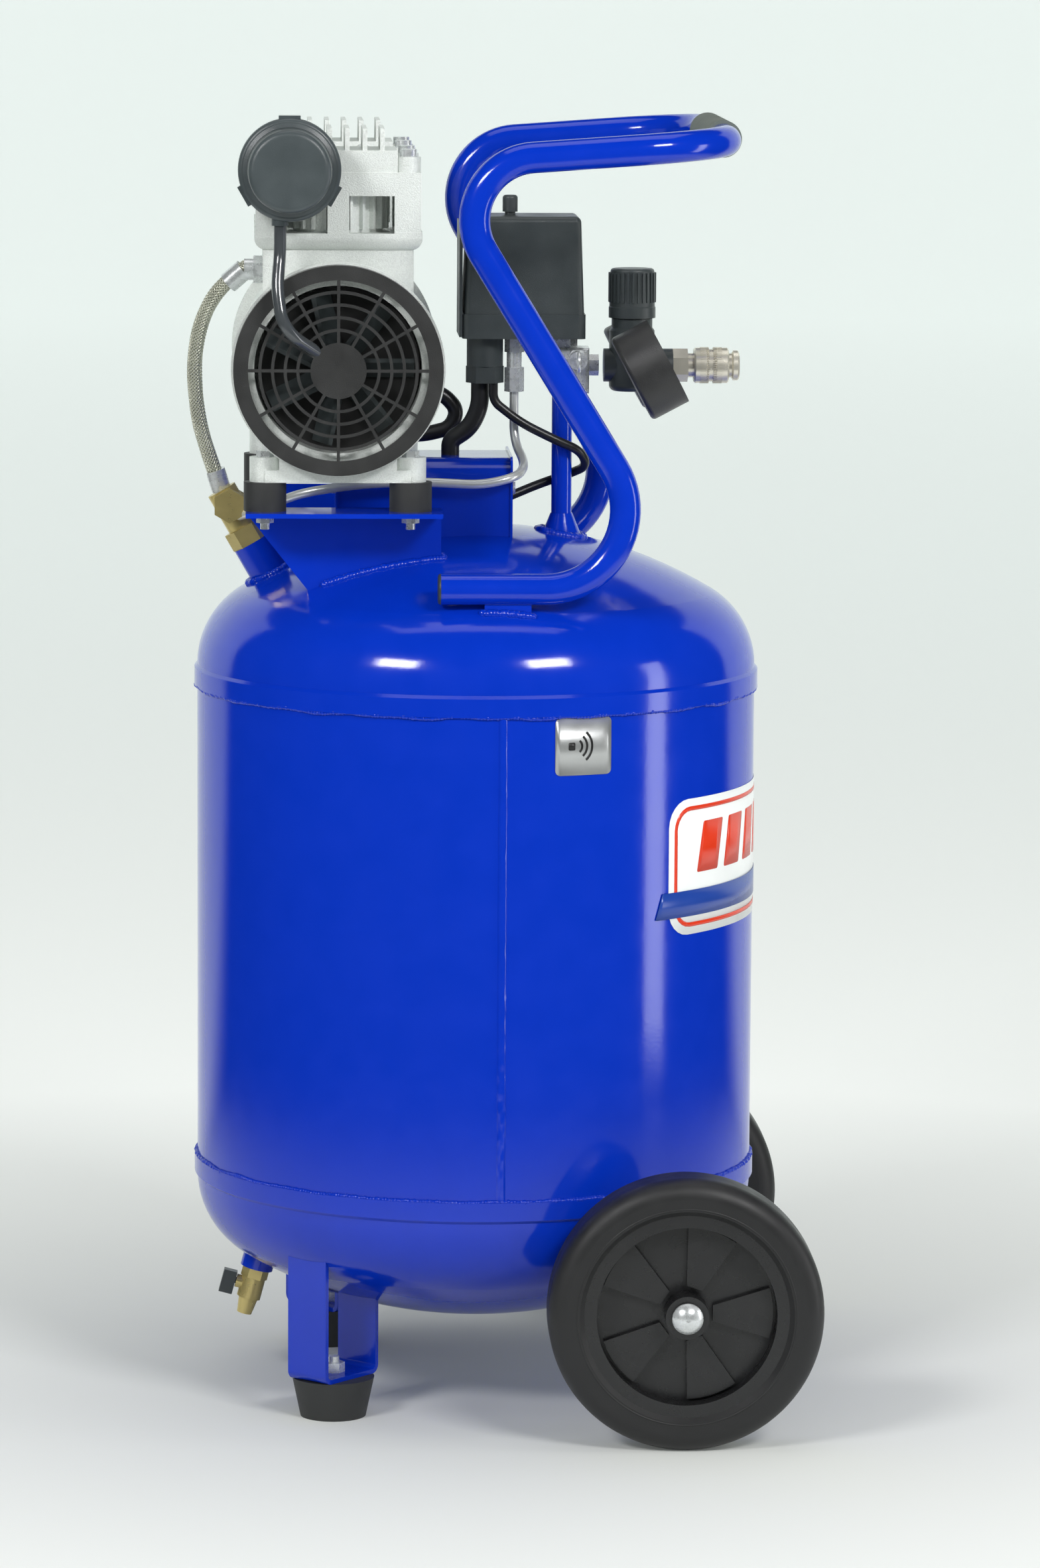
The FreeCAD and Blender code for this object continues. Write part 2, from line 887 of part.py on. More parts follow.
def pump_block(side, half_width, half_depth, low, high, centre=None):
    """A box about the cylinder's axis, or about another distance along the motor."""
    middle = centre or "cylinder_side"
    left, right = span("pump_back", half_width)
    front, back = span(f"{side} * ({middle})", half_depth)
    return block((left, front, low), (right, back, high))


def crankcase(side):
    """Housing, neck, collar and windowed casing, cast in one piece."""
    drum = cylinder(
        "crankcase_radius",
        "crankcase_end - motor_half_length",
        pump_place(side, "motor_half_length"),
        (0, side, 0),
    )
    neck = pump_block(side, "neck_width / 2", "neck_depth / 2", "pump_height", "collar_base + 2")
    collar = rounded(
        pump_block(side, "casing_width / 2", "casing_depth / 2", "collar_base", casing_floor),
        "collar_height - 4",
        lambda edge: abs(edge.CenterOfMass.z - number("collar_base")) < 0.01,
    )
    casing = pump_block(
        side, "casing_width / 2 - 1", "casing_depth / 2 - 1", casing_floor, "casing_top"
    )
    foot = pump_block(
        side, "mount_offset", "14", "base_height", "base_height + 8", "crankcase_end - 14"
    )
    pedestal = pump_block(
        side, "mount_offset - 9", "14", "base_height", "pump_height - 20", "crankcase_end - 14"
    )
    pads = [
        cylinder(
            "10",
            "pad_thickness",
            (f"pump_back + {way} * mount_offset", f"{side} * mount_side", "base_height"),
        )
        for way in (-1, 1)
    ]
    shroud = cylinder(
        "cover_radius + shroud_proud",
        "shroud_depth",
        pump_place(side, "crankcase_end - shroud_depth"),
        (0, side, 0),
    )
    solid = fuse(drum, shroud, neck, collar, casing, foot, pedestal, *pads)
    cavity = cylinder(
        "crankcase_bore",
        "crankcase_end - motor_half_length - crankcase_web + 1",
        pump_place(side, "motor_half_length + crankcase_web"),
        (0, side, 0),
    )
    seat = cylinder(
        "bearing_radius",
        "crankcase_web + 2",
        pump_place(side, "motor_half_length - 1"),
        (0, side, 0),
    )
    cylinder_bore = cylinder(
        liner_outer,
        "casing_top + 1 - pump_height",
        ("pump_back", f"{side} * cylinder_side", "pump_height"),
    )
    jacket = pump_block(
        side,
        "casing_width / 2 - 1 - casing_wall",
        "casing_depth / 2 - 1 - casing_wall",
        casing_floor,
        "casing_top + 1",
    )
    windows = [
        pump_block(
            side,
            "window_width / 2",
            "casing_depth",
            "casing_top - 4 - window_height",
            "casing_top - 4",
        )
        for _ in (0, 1)
    ]
    for window, way in zip(windows, (-1, 1)):
        shift = f"{way} * (window_web + window_width) / 2 - window_width / 2"
        window.setExpression(
            ".Placement.Base.x", formula(f"{FRAME_X} + pump_back + {shift}")
        )
    holes = [
        cylinder(
            "mount_bolt_radius",
            "pad_thickness * 3",
            (
                f"pump_back + {way} * mount_offset",
                f"{side} * mount_side",
                "base_height - pad_thickness",
            ),
        )
        for way in (-1, 1)
    ]
    return cut(solid, cavity, seat, cylinder_bore, jacket, *windows, *holes)


part("crankcases", both_sides(crankcase))


def liner(side):
    """A finned cylinder liner that hangs from the top of the casing."""
    body = turned(
        [
            ("bore_radius", "0"),
            (liner_outer, "0"),
            (liner_outer, "liner_height"),
            ("bore_radius", "liner_height"),
        ],
        ("pump_back", f"{side} * cylinder_side", liner_base),
    )
    fin = sketch_on(body, "XY_Plane")
    outline(
        fin,
        [
            (f"{liner_outer} - 1", "-0.9"),
            (f"{liner_outer} + fin_reach", "-0.9"),
            (f"{liner_outer} + fin_reach", "0.9"),
            (f"{liner_outer} - 1", "0.9"),
        ],
    )
    fin.AttachmentOffset = Placement(
        Vector(0, 0, number(f"{casing_floor} + 1 - ({liner_base})")), Rotation()
    )
    fin.setExpression(".AttachmentOffset.Base.z", formula(f"{casing_floor} + 1 - ({liner_base})"))
    pattern(body, pad(body, fin, f"casing_top - 1 - ({casing_floor})"), 24)
    return body


part("cylinder_liners", both_sides(liner))

gasket_top = "casing_top + gasket_thickness"
plate_top = f"{gasket_top} + plate_thickness"


def bolt_holes(side, low, high, radius="head_bolt_radius"):
    return [
        cylinder(
            radius,
            f"({high}) - ({low})",
            (f"pump_back + {x} * head_bolt_x", f"{side} * cylinder_side + {y} * head_bolt_y", low),
        )
        for x in (-1, 1)
        for y in (-1, 1)
    ]


def valve_plate(side):
    """A gasket, open over the cylinder, and the flat valve plate that it seals."""
    half = ("casing_width / 2 - 1", "casing_depth / 2 - 1")
    gasket = pump_block(side, *half, "casing_top", gasket_top)
    opening = cylinder(
        "bore_radius",
        "gasket_thickness + 2",
        ("pump_back", f"{side} * cylinder_side", "casing_top - 1"),
    )
    flat = pump_block(side, *half, gasket_top, plate_top)
    holes = bolt_holes(side, "casing_top - 1", f"{plate_top} + 1")
    return [cut(gasket, opening, *holes), cut(flat, *holes)]


part("valve_plates", group(*valve_plate(-1), *valve_plate(1)))

flange_top = f"{plate_top} + head_flange"
block_top = f"{flange_top} + head_block"
head_top = f"{block_top} + head_fin_height"
HEAD_FINS = 6


def cylinder_head(side):
    flange = pump_block(side, "casing_width / 2 - 1", "casing_depth / 2 - 1", plate_top, flange_top)
    body = pump_block(side, "casing_width / 2 - 16", "casing_depth / 2 - 4", flange_top, block_top)
    bosses = bolt_holes(side, flange_top, f"{block_top} - 4", "8")
    fins = []
    for index in range(HEAD_FINS):
        shift = f"(({index} - {(HEAD_FINS - 1) / 2}) * head_fin_pitch)"
        left, right = span(f"pump_back + {shift}", "head_fin_thickness / 2")
        front, back = span(f"{side} * cylinder_side", "casing_depth / 2 - 6")
        fins.append(block((left, front, f"{block_top} - 1"), (right, back, head_top)))
    holes = bolt_holes(side, f"{plate_top} - 1", f"{block_top} + 1")
    return cut(fuse(flange, body, *bosses, *fins), *holes)


part("cylinder_heads", both_sides(cylinder_head))


def head_bolt(side, x, y):
    where = (f"pump_back + {x} * head_bolt_x", f"{side} * cylinder_side + {y} * head_bolt_y")
    head = cylinder("head_bolt_radius * 1.8", "head_bolt_radius * 1.6", (*where, f"{block_top} - 4"))
    shank = cylinder(
        "head_bolt_radius", f"{block_top} - 4 - casing_top", (*where, "casing_top")
    )
    return fuse(head, shank)


head_screws = [head_bolt(side, x, y) for side in (-1, 1) for x in (-1, 1) for y in (-1, 1)]

link_front = "cylinder_side - (casing_depth / 2 - 4)"
head_link_pipes = [
    tube(
        [
            (f"pump_back + {shift}", f"-({link_front})", f"{flange_top} + 8"),
            (f"pump_back + {shift}", link_front, f"{flange_top} + 8"),
        ],
        "5",
        "3.5",
    )
    for shift in (-18, 18)
]

# --------------------------------------------------- pump: moving pieces

part(
    "stator",
    turned(
        [
            ("shaft_radius + 27", "-30"),
            ("motor_radius - motor_wall", "-30"),
            ("motor_radius - motor_wall", "30"),
            ("motor_radius - motor_wall - 6", "30"),
            ("motor_radius - motor_wall - 10", "37"),
            ("shaft_radius + 32", "37"),
            ("shaft_radius + 29", "30"),
            ("shaft_radius + 27", "30"),
        ],
        pump_place(1, 0),
        (0, 1, 0),
    ),
)
rotor_core = turned(
    [
        ("shaft_radius", "-30"),
        ("shaft_radius + 26.4", "-30"),
        ("shaft_radius + 26.4", "30"),
        ("shaft_radius", "30"),
    ],
    pump_place(1, 0),
    (0, 1, 0),
)
fan_inner = "crankcase_end - 3 - fan_depth"
shaft_length = "2 * (crankcase_end - 2)"
shaft = cylinder("shaft_radius", shaft_length, pump_place(-1, "crankcase_end - 2"), (0, 1, 0))
eccentrics = [
    cylinder(
        "eccentric_radius",
        "eccentric_width",
        (
            "pump_back",
            f"{side} * cylinder_side - eccentric_width / 2",
            f"pump_height + {side} * crank_throw",
        ),
        (0, 1, 0),
    )
    for side in (-1, 1)
]
part("motor_rotor", group(fuse(shaft, *eccentrics), rotor_core))


def cooling_fan(side):
    """A hub with seven pitched blades."""
    body = turned(
        [
            ("shaft_radius", "0"),
            ("fan_hub", "0"),
            ("fan_hub", "fan_depth - 2"),
            ("fan_hub - 2", "fan_depth", "2"),
            ("shaft_radius", "fan_depth"),
        ],
        pump_place(side, fan_inner),
        (0, side, 0),
    )
    blade = sketch_on(body, "YZ_Plane")
    outline(
        blade,
        [
            ("-6", "1"),
            ("-6 + blade_thickness * 1.4", "1"),
            ("7", "fan_depth - 1"),
            ("7 - blade_thickness * 1.4", "fan_depth - 1"),
        ],
    )
    blade.AttachmentOffset = Placement(Vector(0, 0, number("fan_hub - 3")), Rotation())
    blade.setExpression(".AttachmentOffset.Base.z", formula("fan_hub - 3"))
    pattern(body, pad(body, blade, "fan_radius - fan_hub + 2"), 7)
    return body


part("cooling_fans", both_sides(cooling_fan))


def bearing(side):
    return turned(
        [
            ("shaft_radius + running_gap", "0"),
            ("bearing_radius", "0"),
            ("bearing_radius", "crankcase_web"),
            ("shaft_radius + running_gap", "crankcase_web"),
        ],
        pump_place(side, "motor_half_length"),
        (0, side, 0),
    )


part("shaft_bearings", both_sides(bearing))

eye_bore = "eccentric_radius + 2 * crank_throw + 0.5"
piston_top_dead = "casing_top - 0.8"


def piston(side):
    """Connecting rod and cup piston in one piece; the near one rests at the bottom."""
    eye_height = f"pump_height + {side} * crank_throw"
    crown = f"{piston_top_dead} + ({side} - 1) * crank_throw"
    eye = cylinder(
        f"{eye_bore} + rod_eye_wall",
        "rod_thickness",
        ("pump_back", f"{side} * cylinder_side - rod_thickness / 2", eye_height),
        (0, 1, 0),
    )
    rod = pump_block(
        side,
        "rod_width / 2",
        "rod_thickness / 2",
        f"{eye_height} + {eye_bore}",
        f"{crown} - piston_height + 1",
    )
    cup = cylinder(
        "piston_radius",
        "piston_height",
        ("pump_back", f"{side} * cylinder_side", f"{crown} - piston_height"),
    )
    hole = cylinder(
        eye_bore,
        "rod_thickness + 2",
        ("pump_back", f"{side} * cylinder_side - rod_thickness / 2 - 1", eye_height),
        (0, 1, 0),
    )
    return fuse(cut(fuse(eye, rod), hole), cup)


part("piston_near", piston(-1))
part("piston_far", piston(1))

# ------------------------------------------------------------- fan covers

SPOKES = 12
RINGS = 4


def fan_cover(side):
    """A disc pierced by five rows of windows, with a skirt that meets the crankcase."""
    body = doc.addObject("PartDesign::Body", "FanCover")
    disc = sketch_on(body, "XY_Plane")
    ring(disc, "cover_radius")
    pad(body, disc, "grille_thickness", reverse=True)
    skirt = sketch_on(body, "XY_Plane")
    ring(skirt, "cover_radius")
    ring(skirt, "cover_radius - cover_wall")
    pad(body, skirt, "cover_depth", reverse=True)
    windows = sketch_on(body, "XY_Plane")
    turn = 360 / SPOKES
    edge = "(grille_bar / 2)"
    for index in range(RINGS + 1):
        low = f"(grille_hub + {index} * grille_pitch + {min(index, 1)} * grille_bar / 2)"
        high = f"(grille_hub + {index + 1} * grille_pitch - grille_bar / 2)"
        if index == RINGS:
            high = "(cover_radius - cover_rim)"
        corners = []
        for radius, ends in ((low, (1,)), (high, (0, 1)), (low, (0,))):
            reach = f"sqrt({radius}^2 - {edge}^2)"
            for end in ends:
                first = (reach, edge)
                second = (
                    f"{reach} * cos({turn}) + {edge} * sin({turn})",
                    f"{reach} * sin({turn}) - {edge} * cos({turn})",
                )
                corners.append((second if end else first, radius))
        (start, _), (lower, _), (upper, _), (finish, _) = corners
        outline(
            windows,
            [
                (*finish, f"-{low}"),
                lower,
                (*upper, high),
                start,
            ],
        )
    pocket = body.newObject("PartDesign::Pocket", "Windows")
    pocket.Profile = windows
    bind(pocket, Length="grille_thickness * 2")
    pocket.Reversed = False
    pattern(body, pocket, SPOKES)
    return place(body, pump_place(side, "crankcase_end + cover_depth"), (0, side, 0))


part("fan_covers", both_sides(fan_cover))

# ------------------------------------------------- air filter and its hose

filter_canister = turned(
    [
        ("0", "filter_rear"),
        ("filter_radius - 3", "filter_rear"),
        ("filter_radius", "filter_rear + 3", "3"),
        ("filter_radius", "filter_step - 3"),
        ("filter_radius - 3", "filter_step", "3"),
        ("filter_face_radius + 1", "filter_step + 1"),
        ("filter_face_radius", "filter_front - 4"),
        ("filter_face_radius - 4", "filter_front", "4"),
        ("0", "filter_front"),
    ],
    ("filter_back", "0", "filter_height"),
    (0, -1, 0),
)
filter_spigot = cylinder(
    "8",
    "filter_rear - (cylinder_side + casing_depth / 2 - 4) + 1",
    ("filter_back", "-(filter_rear + 1)", "filter_height"),
    (0, 1, 0),
)
filter_catches = []
for angle in (90, 210, 330):
    catch = doc.addObject("Part::Box", "Catch")
    bind(catch, Length="3", Width="14", Height="filter_step - filter_rear - 5")
    turn = Rotation(Vector(1, 0, 0), 90).multiply(Rotation(Vector(0, 0, 1), angle))
    reach = ("filter_radius - 1.5", "-7")
    corner = (
        f"filter_back + ({reach[0]}) * cos({angle}) - ({reach[1]}) * sin({angle})",
        "-filter_rear - 2.5",
        f"filter_height + ({reach[0]}) * sin({angle}) + ({reach[1]}) * cos({angle})",
    )
    filter_catches.append(place(catch, corner, rotation=turn))
filter_outlet = (
    "filter_back - 6",
    "-(filter_rear + filter_step) / 2",
    "filter_height - filter_radius - 2.5",
)
hose_collar = cylinder("intake_hose_radius + 1.5", "8", filter_outlet)
part(
    "air_filter",
    cut(
        fuse(filter_canister, filter_spigot, *filter_catches, hose_collar),
        PARTS["cylinder_heads"],
        PARTS["valve_plates"],
    ),
)
cover_face = "-(crankcase_end + cover_depth)"
intake_hose = tube(
    [
        filter_outlet,
        (filter_outlet[0], filter_outlet[1], "filter_height - filter_radius - 20"),
        ("filter_back - 8", f"{cover_face} - 10", "filter_height - filter_radius - 42"),
        ("filter_back - 5", f"{cover_face} - 15", "filter_height - filter_radius - 62"),
        ("filter_back + 2", f"{cover_face} - 12", "pump_height + 23"),
        ("pump_back - 14", f"{cover_face} + 3", "pump_height + 12"),
    ],
    "intake_hose_radius",
    "intake_hose_bore",
)
grille_face = cylinder("cover_radius", "cover_depth", pump_place(-1, "crankcase_end"), (0, -1, 0))
part("intake_hose", cut(intake_hose, grille_face))

# --------------------------------------------------- platform and mounts

platform_low = "platform_top - platform_thickness"


def platform(side):
    """A bent sheet: a shelf for two mounts and an apron welded to the dome."""
    reach = ["platform_inner", "platform_outer"]
    if side < 0:
        reach = ["-platform_outer", "-platform_inner"]
    shelf = block(
        ("platform_left", reach[0], platform_low), ("platform_right", reach[1], "platform_top")
    )
    apron = plate(
        [
            ("platform_left", platform_low),
            ("platform_left + 70", "seam_high + 20"),
            ("platform_right", "seam_high + 20"),
            ("platform_right", platform_low),
        ],
        "platform_thickness",
        ("0", f"{side} * (platform_inner + platform_thickness / 2)", "0"),
    )
    holes = [
        cylinder(
            "mount_bolt_radius",
            "platform_thickness + 2",
            (
                f"pump_back + {way} * mount_offset",
                f"{side} * mount_side",
                f"{platform_low} - 1",
            ),
        )
        for way in (-1, 1)
    ]
    return cut(fuse(shelf, apron), tank_form, *holes)


part("pump_brackets", both_sides(platform))

mount_places = [
    (f"pump_back + {way} * mount_offset", f"{side} * mount_side")
    for side in (-1, 1)
    for way in (-1, 1)
]
mount_height = "base_height - platform_top"
part(
    "rubber_mounts",
    group(
        *[
            cut(
                cylinder("mount_radius", mount_height, (*where, "platform_top")),
                cylinder("mount_bolt_radius", mount_height, (*where, "platform_top")),
            )
            for where in mount_places
        ]
    ),
)
mount_bolts = []
for where in mount_places:
    mount_bolts += bolt(
        "mount_bolt_radius",
        where,
        "base_height + pad_thickness",
        f"{platform_low} - mount_bolt_radius * 3",
        platform_low,
    )
part("mounting_bolts", group(*foot_bolts, *mount_bolts))

# ------------------------------------------------------- capacitor cover



def long_top_edge(edge):
    """An edge that runs along X on top of the cover."""
    return edge.BoundBox.XLength > 20 and edge.CenterOfMass.z > number("cover_top - 4")


def top_corner(edge):
    """An edge through the thickness of an end plate, at one of its top corners."""
    return 1 < edge.BoundBox.XLength < 3 and edge.CenterOfMass.z > number("cover_top - 1")


cover_solid = rounded(
    block(
        ("cover_left", "-cover_half_depth", "seam_high"),
        ("cover_right", "cover_half_depth", "cover_top - cover_sheet"),
    ),
    "cover_corner",
    long_top_edge,
)
cover_hollow = rounded(
    block(
        ("cover_left + cover_sheet", "cover_sheet - cover_half_depth", "seam_high - 1"),
        ("cover_right - cover_sheet", "cover_half_depth - cover_sheet", "cover_top - 2 * cover_sheet"),
    ),
    "cover_corner - cover_sheet",
    long_top_edge,
)
cover_ends = [
    rounded(
        block(
            (left, "-cover_half_depth - cover_sheet", "seam_high"),
            (f"{left} + cover_sheet", "cover_half_depth + cover_sheet", "cover_top"),
        ),
        "6",
        top_corner,
    )
    for left in ("cover_left", "cover_right - cover_sheet")
]
cable_entry = ("cover_right", "4", "cover_top - 30")
cover_entry = cylinder(
    "cable_radius + 0.5", "10", ("cover_right - 5", cable_entry[1], cable_entry[2]), (1, 0, 0)
)
conduit_entry = ("switch_left - 7", "-8", "cover_top - cover_sheet")
motor_lead_entry = ("pump_back + 34", "12", "cover_top - cover_sheet")
top_entries = [
    cylinder(radius, "10", (entry[0], entry[1], "cover_top - 5"))
    for radius, entry in (
        ("conduit_radius", conduit_entry),
        ("motor_lead_radius", motor_lead_entry),
    )
]
cover_screws = [
    fuse(
        cylinder("4", "2.4", (x, "-24", "cover_top - 22"), (way, 0, 0)),
        cylinder("1.6", "8", (f"{x} - {way} * 7", "-24", "cover_top - 22"), (way, 0, 0)),
    )
    for x, way in (("cover_left", -1), ("cover_right", 1))
]
part(
    "capacitor_cover",
    cut(
        fuse(cut(cover_solid, cover_hollow), *cover_ends),
        cover_entry,
        *top_entries,
        *cover_screws,
        tank_form,
    ),
)
part("small_screws", group(*cover_screws, *head_screws))
part(
    "capacitors",
    group(
        *[
            cylinder(
                "capacitor_radius",
                "capacitor_length",
                (
                    "(cover_left + cover_right - capacitor_length) / 2",
                    f"{side} * (capacitor_radius + 4)",
                    "seam_high + head_height + capacitor_radius + 3",
                ),
                (1, 0, 0),
            )
            for side in (-1, 1)
        ]
    ),
)

# ---------------------------------------------- check valve and its lines

tilt = math.radians(number("check_tilt"))
CHECK_AXIS = (-math.sin(tilt), 0, math.cos(tilt))
check_base = ("check_back", "0", "check_height")
check_direction = ("-sin(check_tilt)", "0", "cos(check_tilt)")


def check_place(distance):
    return along(check_base, check_direction, distance)


check_boss = cut(cylinder("13", "38", check_place("-16"), CHECK_AXIS), tank_form)
riser_base = ("riser_forward", "0")
riser_flare = cut(
    cone("17", "riser_radius + 0.5", "24", (*riser_base, "seam_high + head_height - 16")),
    tank_form,
    cylinder("riser_radius", "60", (*riser_base, "seam_high + head_height - 40")),
)
drain_tilt_angle = math.radians(number("drain_tilt"))
DRAIN_AXIS = (-math.sin(drain_tilt_angle), 0, -math.cos(drain_tilt_angle))
drain_base = ("drain_back", "0", "drain_height")
drain_direction = ("-sin(drain_tilt)", "0", "-cos(drain_tilt)")


def drain_place(distance):
    return along(drain_base, drain_direction, distance)


drain_boss = cut(cylinder("11", "20", drain_place("-10"), DRAIN_AXIS), tank_form)
part("weld_bosses", group(check_boss, riser_flare, drain_boss, *handle_tabs))

unloader_top = ("switch_left + 35", "-8", "switch_base_height - 36")
check_side = check_place("42")
unloader_tube = tube(
    [
        unloader_top,
        (unloader_top[0], unloader_top[1], "cover_top + 8"),
        ("switch_left + 42", "-27", "cover_top - 6"),
        ("switch_left + 36", "-53", "cover_top - 12"),
        ("switch_left + 13", "-58", "cover_top - 17"),
        ("switch_left - 31", "-57", "cover_top - 15"),
        ("switch_left - 71", "-57", "cover_top - 17"),
        ("switch_left - 109", "-50", "cover_top - 24"),
        ("switch_left - 131", "-30", "cover_top - 36"),
        (check_side[0], "-6", check_side[2]),
    ],
    "unloader_radius",
    "unloader_bore",
)
check_nut = hexagon("13.5", "12", check_place("22"), CHECK_AXIS)
check_body = cylinder("check_radius", "28", check_place("34"), CHECK_AXIS)
cross_base = check_place("51")
check_cross = hexagon("11.5", "32", (cross_base[0], "-16", cross_base[2]), (0, 1, 0), 30)
part("check_valve", fuse(check_nut, check_body, check_cross))
part("aluminium_tubes", group(cut(unloader_tube, check_body, check_cross), *head_link_pipes))

neck_left = "pump_back - neck_width / 2"
hose_top = (f"{neck_left} - 12", "-45", "collar_base - 16")
hose_end = check_place("62")
braided_hose = tube(
    [
        hose_top,
        ("pump_back - 76", "-42", "collar_base - 26"),
        ("pump_back - 90", "-33", "collar_base - 48"),
        ("pump_back - 96", "-22", "collar_base - 76"),
        ("pump_back - 95", "-11", "collar_base - 106"),
        ("pump_back - 90", "-3", "collar_base - 134"),
        hose_end,
    ],
    "braided_radius",
)
part("braided_hose", cut(braided_hose, check_cross, check_body))
hose_boss = fuse(
    cylinder("7", "12", hose_top, (1, 0, 0)),
    hexagon("9", "6", (neck_left, "-45", "collar_base - 16"), (-1, 0, 0)),
    cylinder("7", "14", hose_top, (-0.74, 0.16, -0.65)),
)
ferrule = cylinder("braided_radius + 1.5", "14", check_place("62"), (-0.3, -0.12, 0.95))
unloader_stack = fuse(
    hexagon("6.5", "16", unloader_top),
    cylinder("5", "20", (unloader_top[0], unloader_top[1], f"{unloader_top[2]} + 16")),
    hexagon("6.5", "10", (unloader_top[0], unloader_top[1], "switch_base_height - 10")),
)
outlet_start = "riser_forward + manifold_length * 2 / 3"
outlet_nipple = hexagon(
    "7", f"regulator_x - 22 - ({outlet_start})", (outlet_start, "0", "outlet_height"), (1, 0, 0)
)
switch_collar = hexagon(
    "10",
    "switch_base_height - manifold_base - manifold_height",
    ("riser_forward", "0", "manifold_base + manifold_height"),
)

# --------------------------------------------- riser, manifold and switch

riser = turned(
    [
        ("riser_bore", "seam_high + head_height - 40"),
        ("riser_radius", "seam_high + head_height - 40"),
        ("riser_radius", "manifold_base"),
        ("riser_bore", "manifold_base"),
    ],
    (*riser_base, "0"),
)
part("riser_pipe", cut(riser, tank_form))
manifold_left = "riser_forward - manifold_length / 3"
manifold_right = "riser_forward + manifold_length * 2 / 3"
manifold_block = rounded(
    block(
        (manifold_left, "-manifold_depth / 2", "manifold_base"),
        (manifold_right, "manifold_depth / 2", "manifold_base + manifold_height"),
    ),
    "2.5",
    lambda edge: abs(abs(edge.CenterOfMass.y) - number("manifold_depth / 2")) < 0.01,
)
part("manifold", manifold_block)

switch_tray = rounded(
    block(
        ("switch_left", "-switch_half_depth", "switch_base_height"),
        ("switch_right", "switch_half_depth", "switch_seam"),
    ),
    "5",
    lambda edge: abs(edge.CenterOfMass.z - number("switch_base_height + switch_seam") / 2) < 0.01,
)
steel_plate = block(
    ("switch_left - 2", "-switch_half_depth + 2", "switch_base_height + 1"),
    ("switch_left", "switch_half_depth - 2", "switch_top - 4"),
)
part("switch_base", group(switch_tray, steel_plate))

lid = doc.addObject("PartDesign::Body", "SwitchLid")
lid_sketch = outline(
    sketch_on(lid, "XY_Plane"),
    [
        ("switch_left + 1", "1 - switch_half_depth"),
        ("switch_right - 1", "1 - switch_half_depth"),
        ("switch_right - 1", "switch_half_depth - 1"),
        ("switch_left + 1", "switch_half_depth - 1"),
    ],
)
lid_pad = pad(lid, lid_sketch, "switch_top - switch_seam")
bind(lid_pad, TaperAngle="-switch_draft")
doc.recompute()
lid_round = lid.newObject("PartDesign::Fillet", "Rounding")
upright = [
    f"Edge{i}"
    for i, edge in enumerate(lid_pad.Shape.Edges, start=1)
    if edge.BoundBox.ZMax > number("switch_top - switch_seam") - 0.01
]
lid_round.Base = (lid_pad, upright)
lid_round.Radius = 4
place(lid, ("0", "0", "switch_seam"))
lid_inside = block(
    (
        "switch_left + 1 + switch_wall * 2",
        "1 + switch_wall * 2 - switch_half_depth",
        "switch_seam - 1",
    ),
    (
        "switch_right - 1 - switch_wall * 2",
        "switch_half_depth - 1 - switch_wall * 2",
        "switch_top - switch_wall * 2",
    ),
)
stem_hole = cylinder(
    "switch_stem_radius + switch_stem_gap",
    "20",
    ("switch_knob_x", "0", "switch_top - 12"),
)
part("switch_lid", cut(lid, lid_inside, stem_hole))
knob_stem = cylinder("switch_stem_radius", "16", ("switch_knob_x", "0", "switch_top - 14"))
knob_head = turned(
    [
        ("0", "0"),
        ("switch_knob_radius", "0"),
        ("switch_knob_radius", "9"),
        ("switch_knob_radius - 2", "11", "2"),
        ("0", "11"),
    ],
    ("switch_knob_x", "0", "switch_top + 2"),
)
part("switch_knob", fuse(knob_stem, knob_head))

gland_places = [("switch_left + 15.5", "-10"), ("switch_left + 17", "15")]
gland_base = "switch_base_height - 30"


def gland(where, radius):
    """A boss under the switch, with the hexagon nut that grips the cables."""
    boss = cylinder(f"{radius} - 0.5", "19", (*where, f"{gland_base} + 11"))
    return fuse(boss, hexagon(radius, "11", (*where, gland_base)))


part("cable_glands", group(gland(gland_places[0], "12.5"), gland(gland_places[1], "10")))

conduit_start = ("switch_left + 12.5", "-7.5", gland_base)
conduit = tube(
    [
        conduit_start,
        (conduit_start[0], conduit_start[1], f"{gland_base} - 16"),
        ("switch_left + 6", "-8", f"{gland_base} - 30"),
        (conduit_entry[0], conduit_entry[1], "cover_top + 8"),
        conduit_entry,
    ],
    "conduit_radius",
)
motor_lead = tube(
    [
        ("pump_back + motor_radius - 5", "12", "pump_height - 22"),
        ("pump_back + motor_radius + 11", "12", "pump_height - 25"),
        ("pump_back + motor_radius + 21", "12", "pump_height - 36"),
        ("pump_back + motor_radius + 16", "12", "pump_height - 48"),
        ("pump_back + motor_radius - 4", "12", "pump_height - 53"),
        (motor_lead_entry[0], motor_lead_entry[1], "cover_top + 12"),
        motor_lead_entry,
    ],
    "motor_lead_radius",
)
motor_form = cylinder(
    "motor_radius", "2 * motor_half_length", pump_place(-1, "motor_half_length"), (0, 1, 0)
)
part("motor_cables", group(conduit, cut(motor_lead, motor_form)))
lead_start = ("switch_left + 21", "-15", gland_base)
part(
    "capacitor_cable",
    tube(
        [
            lead_start,
            (lead_start[0], lead_start[1], f"{gland_base} - 12"),
            ("switch_left + 39", "-16", f"{gland_base} - 26"),
            ("switch_left + 61", "-15", f"{gland_base} - 37"),
            ("riser_forward + 12", "-11", f"{gland_base} - 45"),
            ("riser_forward + 17", "0", f"{gland_base} - 56"),
            ("riser_forward + 6", "11", f"{gland_base} - 62"),
            ("riser_forward - 15", "9", f"{gland_base} - 69"),
            cable_entry,
        ],
        "cable_radius",
    ),
)

# ----------------------------------------------------------- safety valve

valve_base = ("riser_forward + 9", "-manifold_depth / 2", "outlet_height + 5")


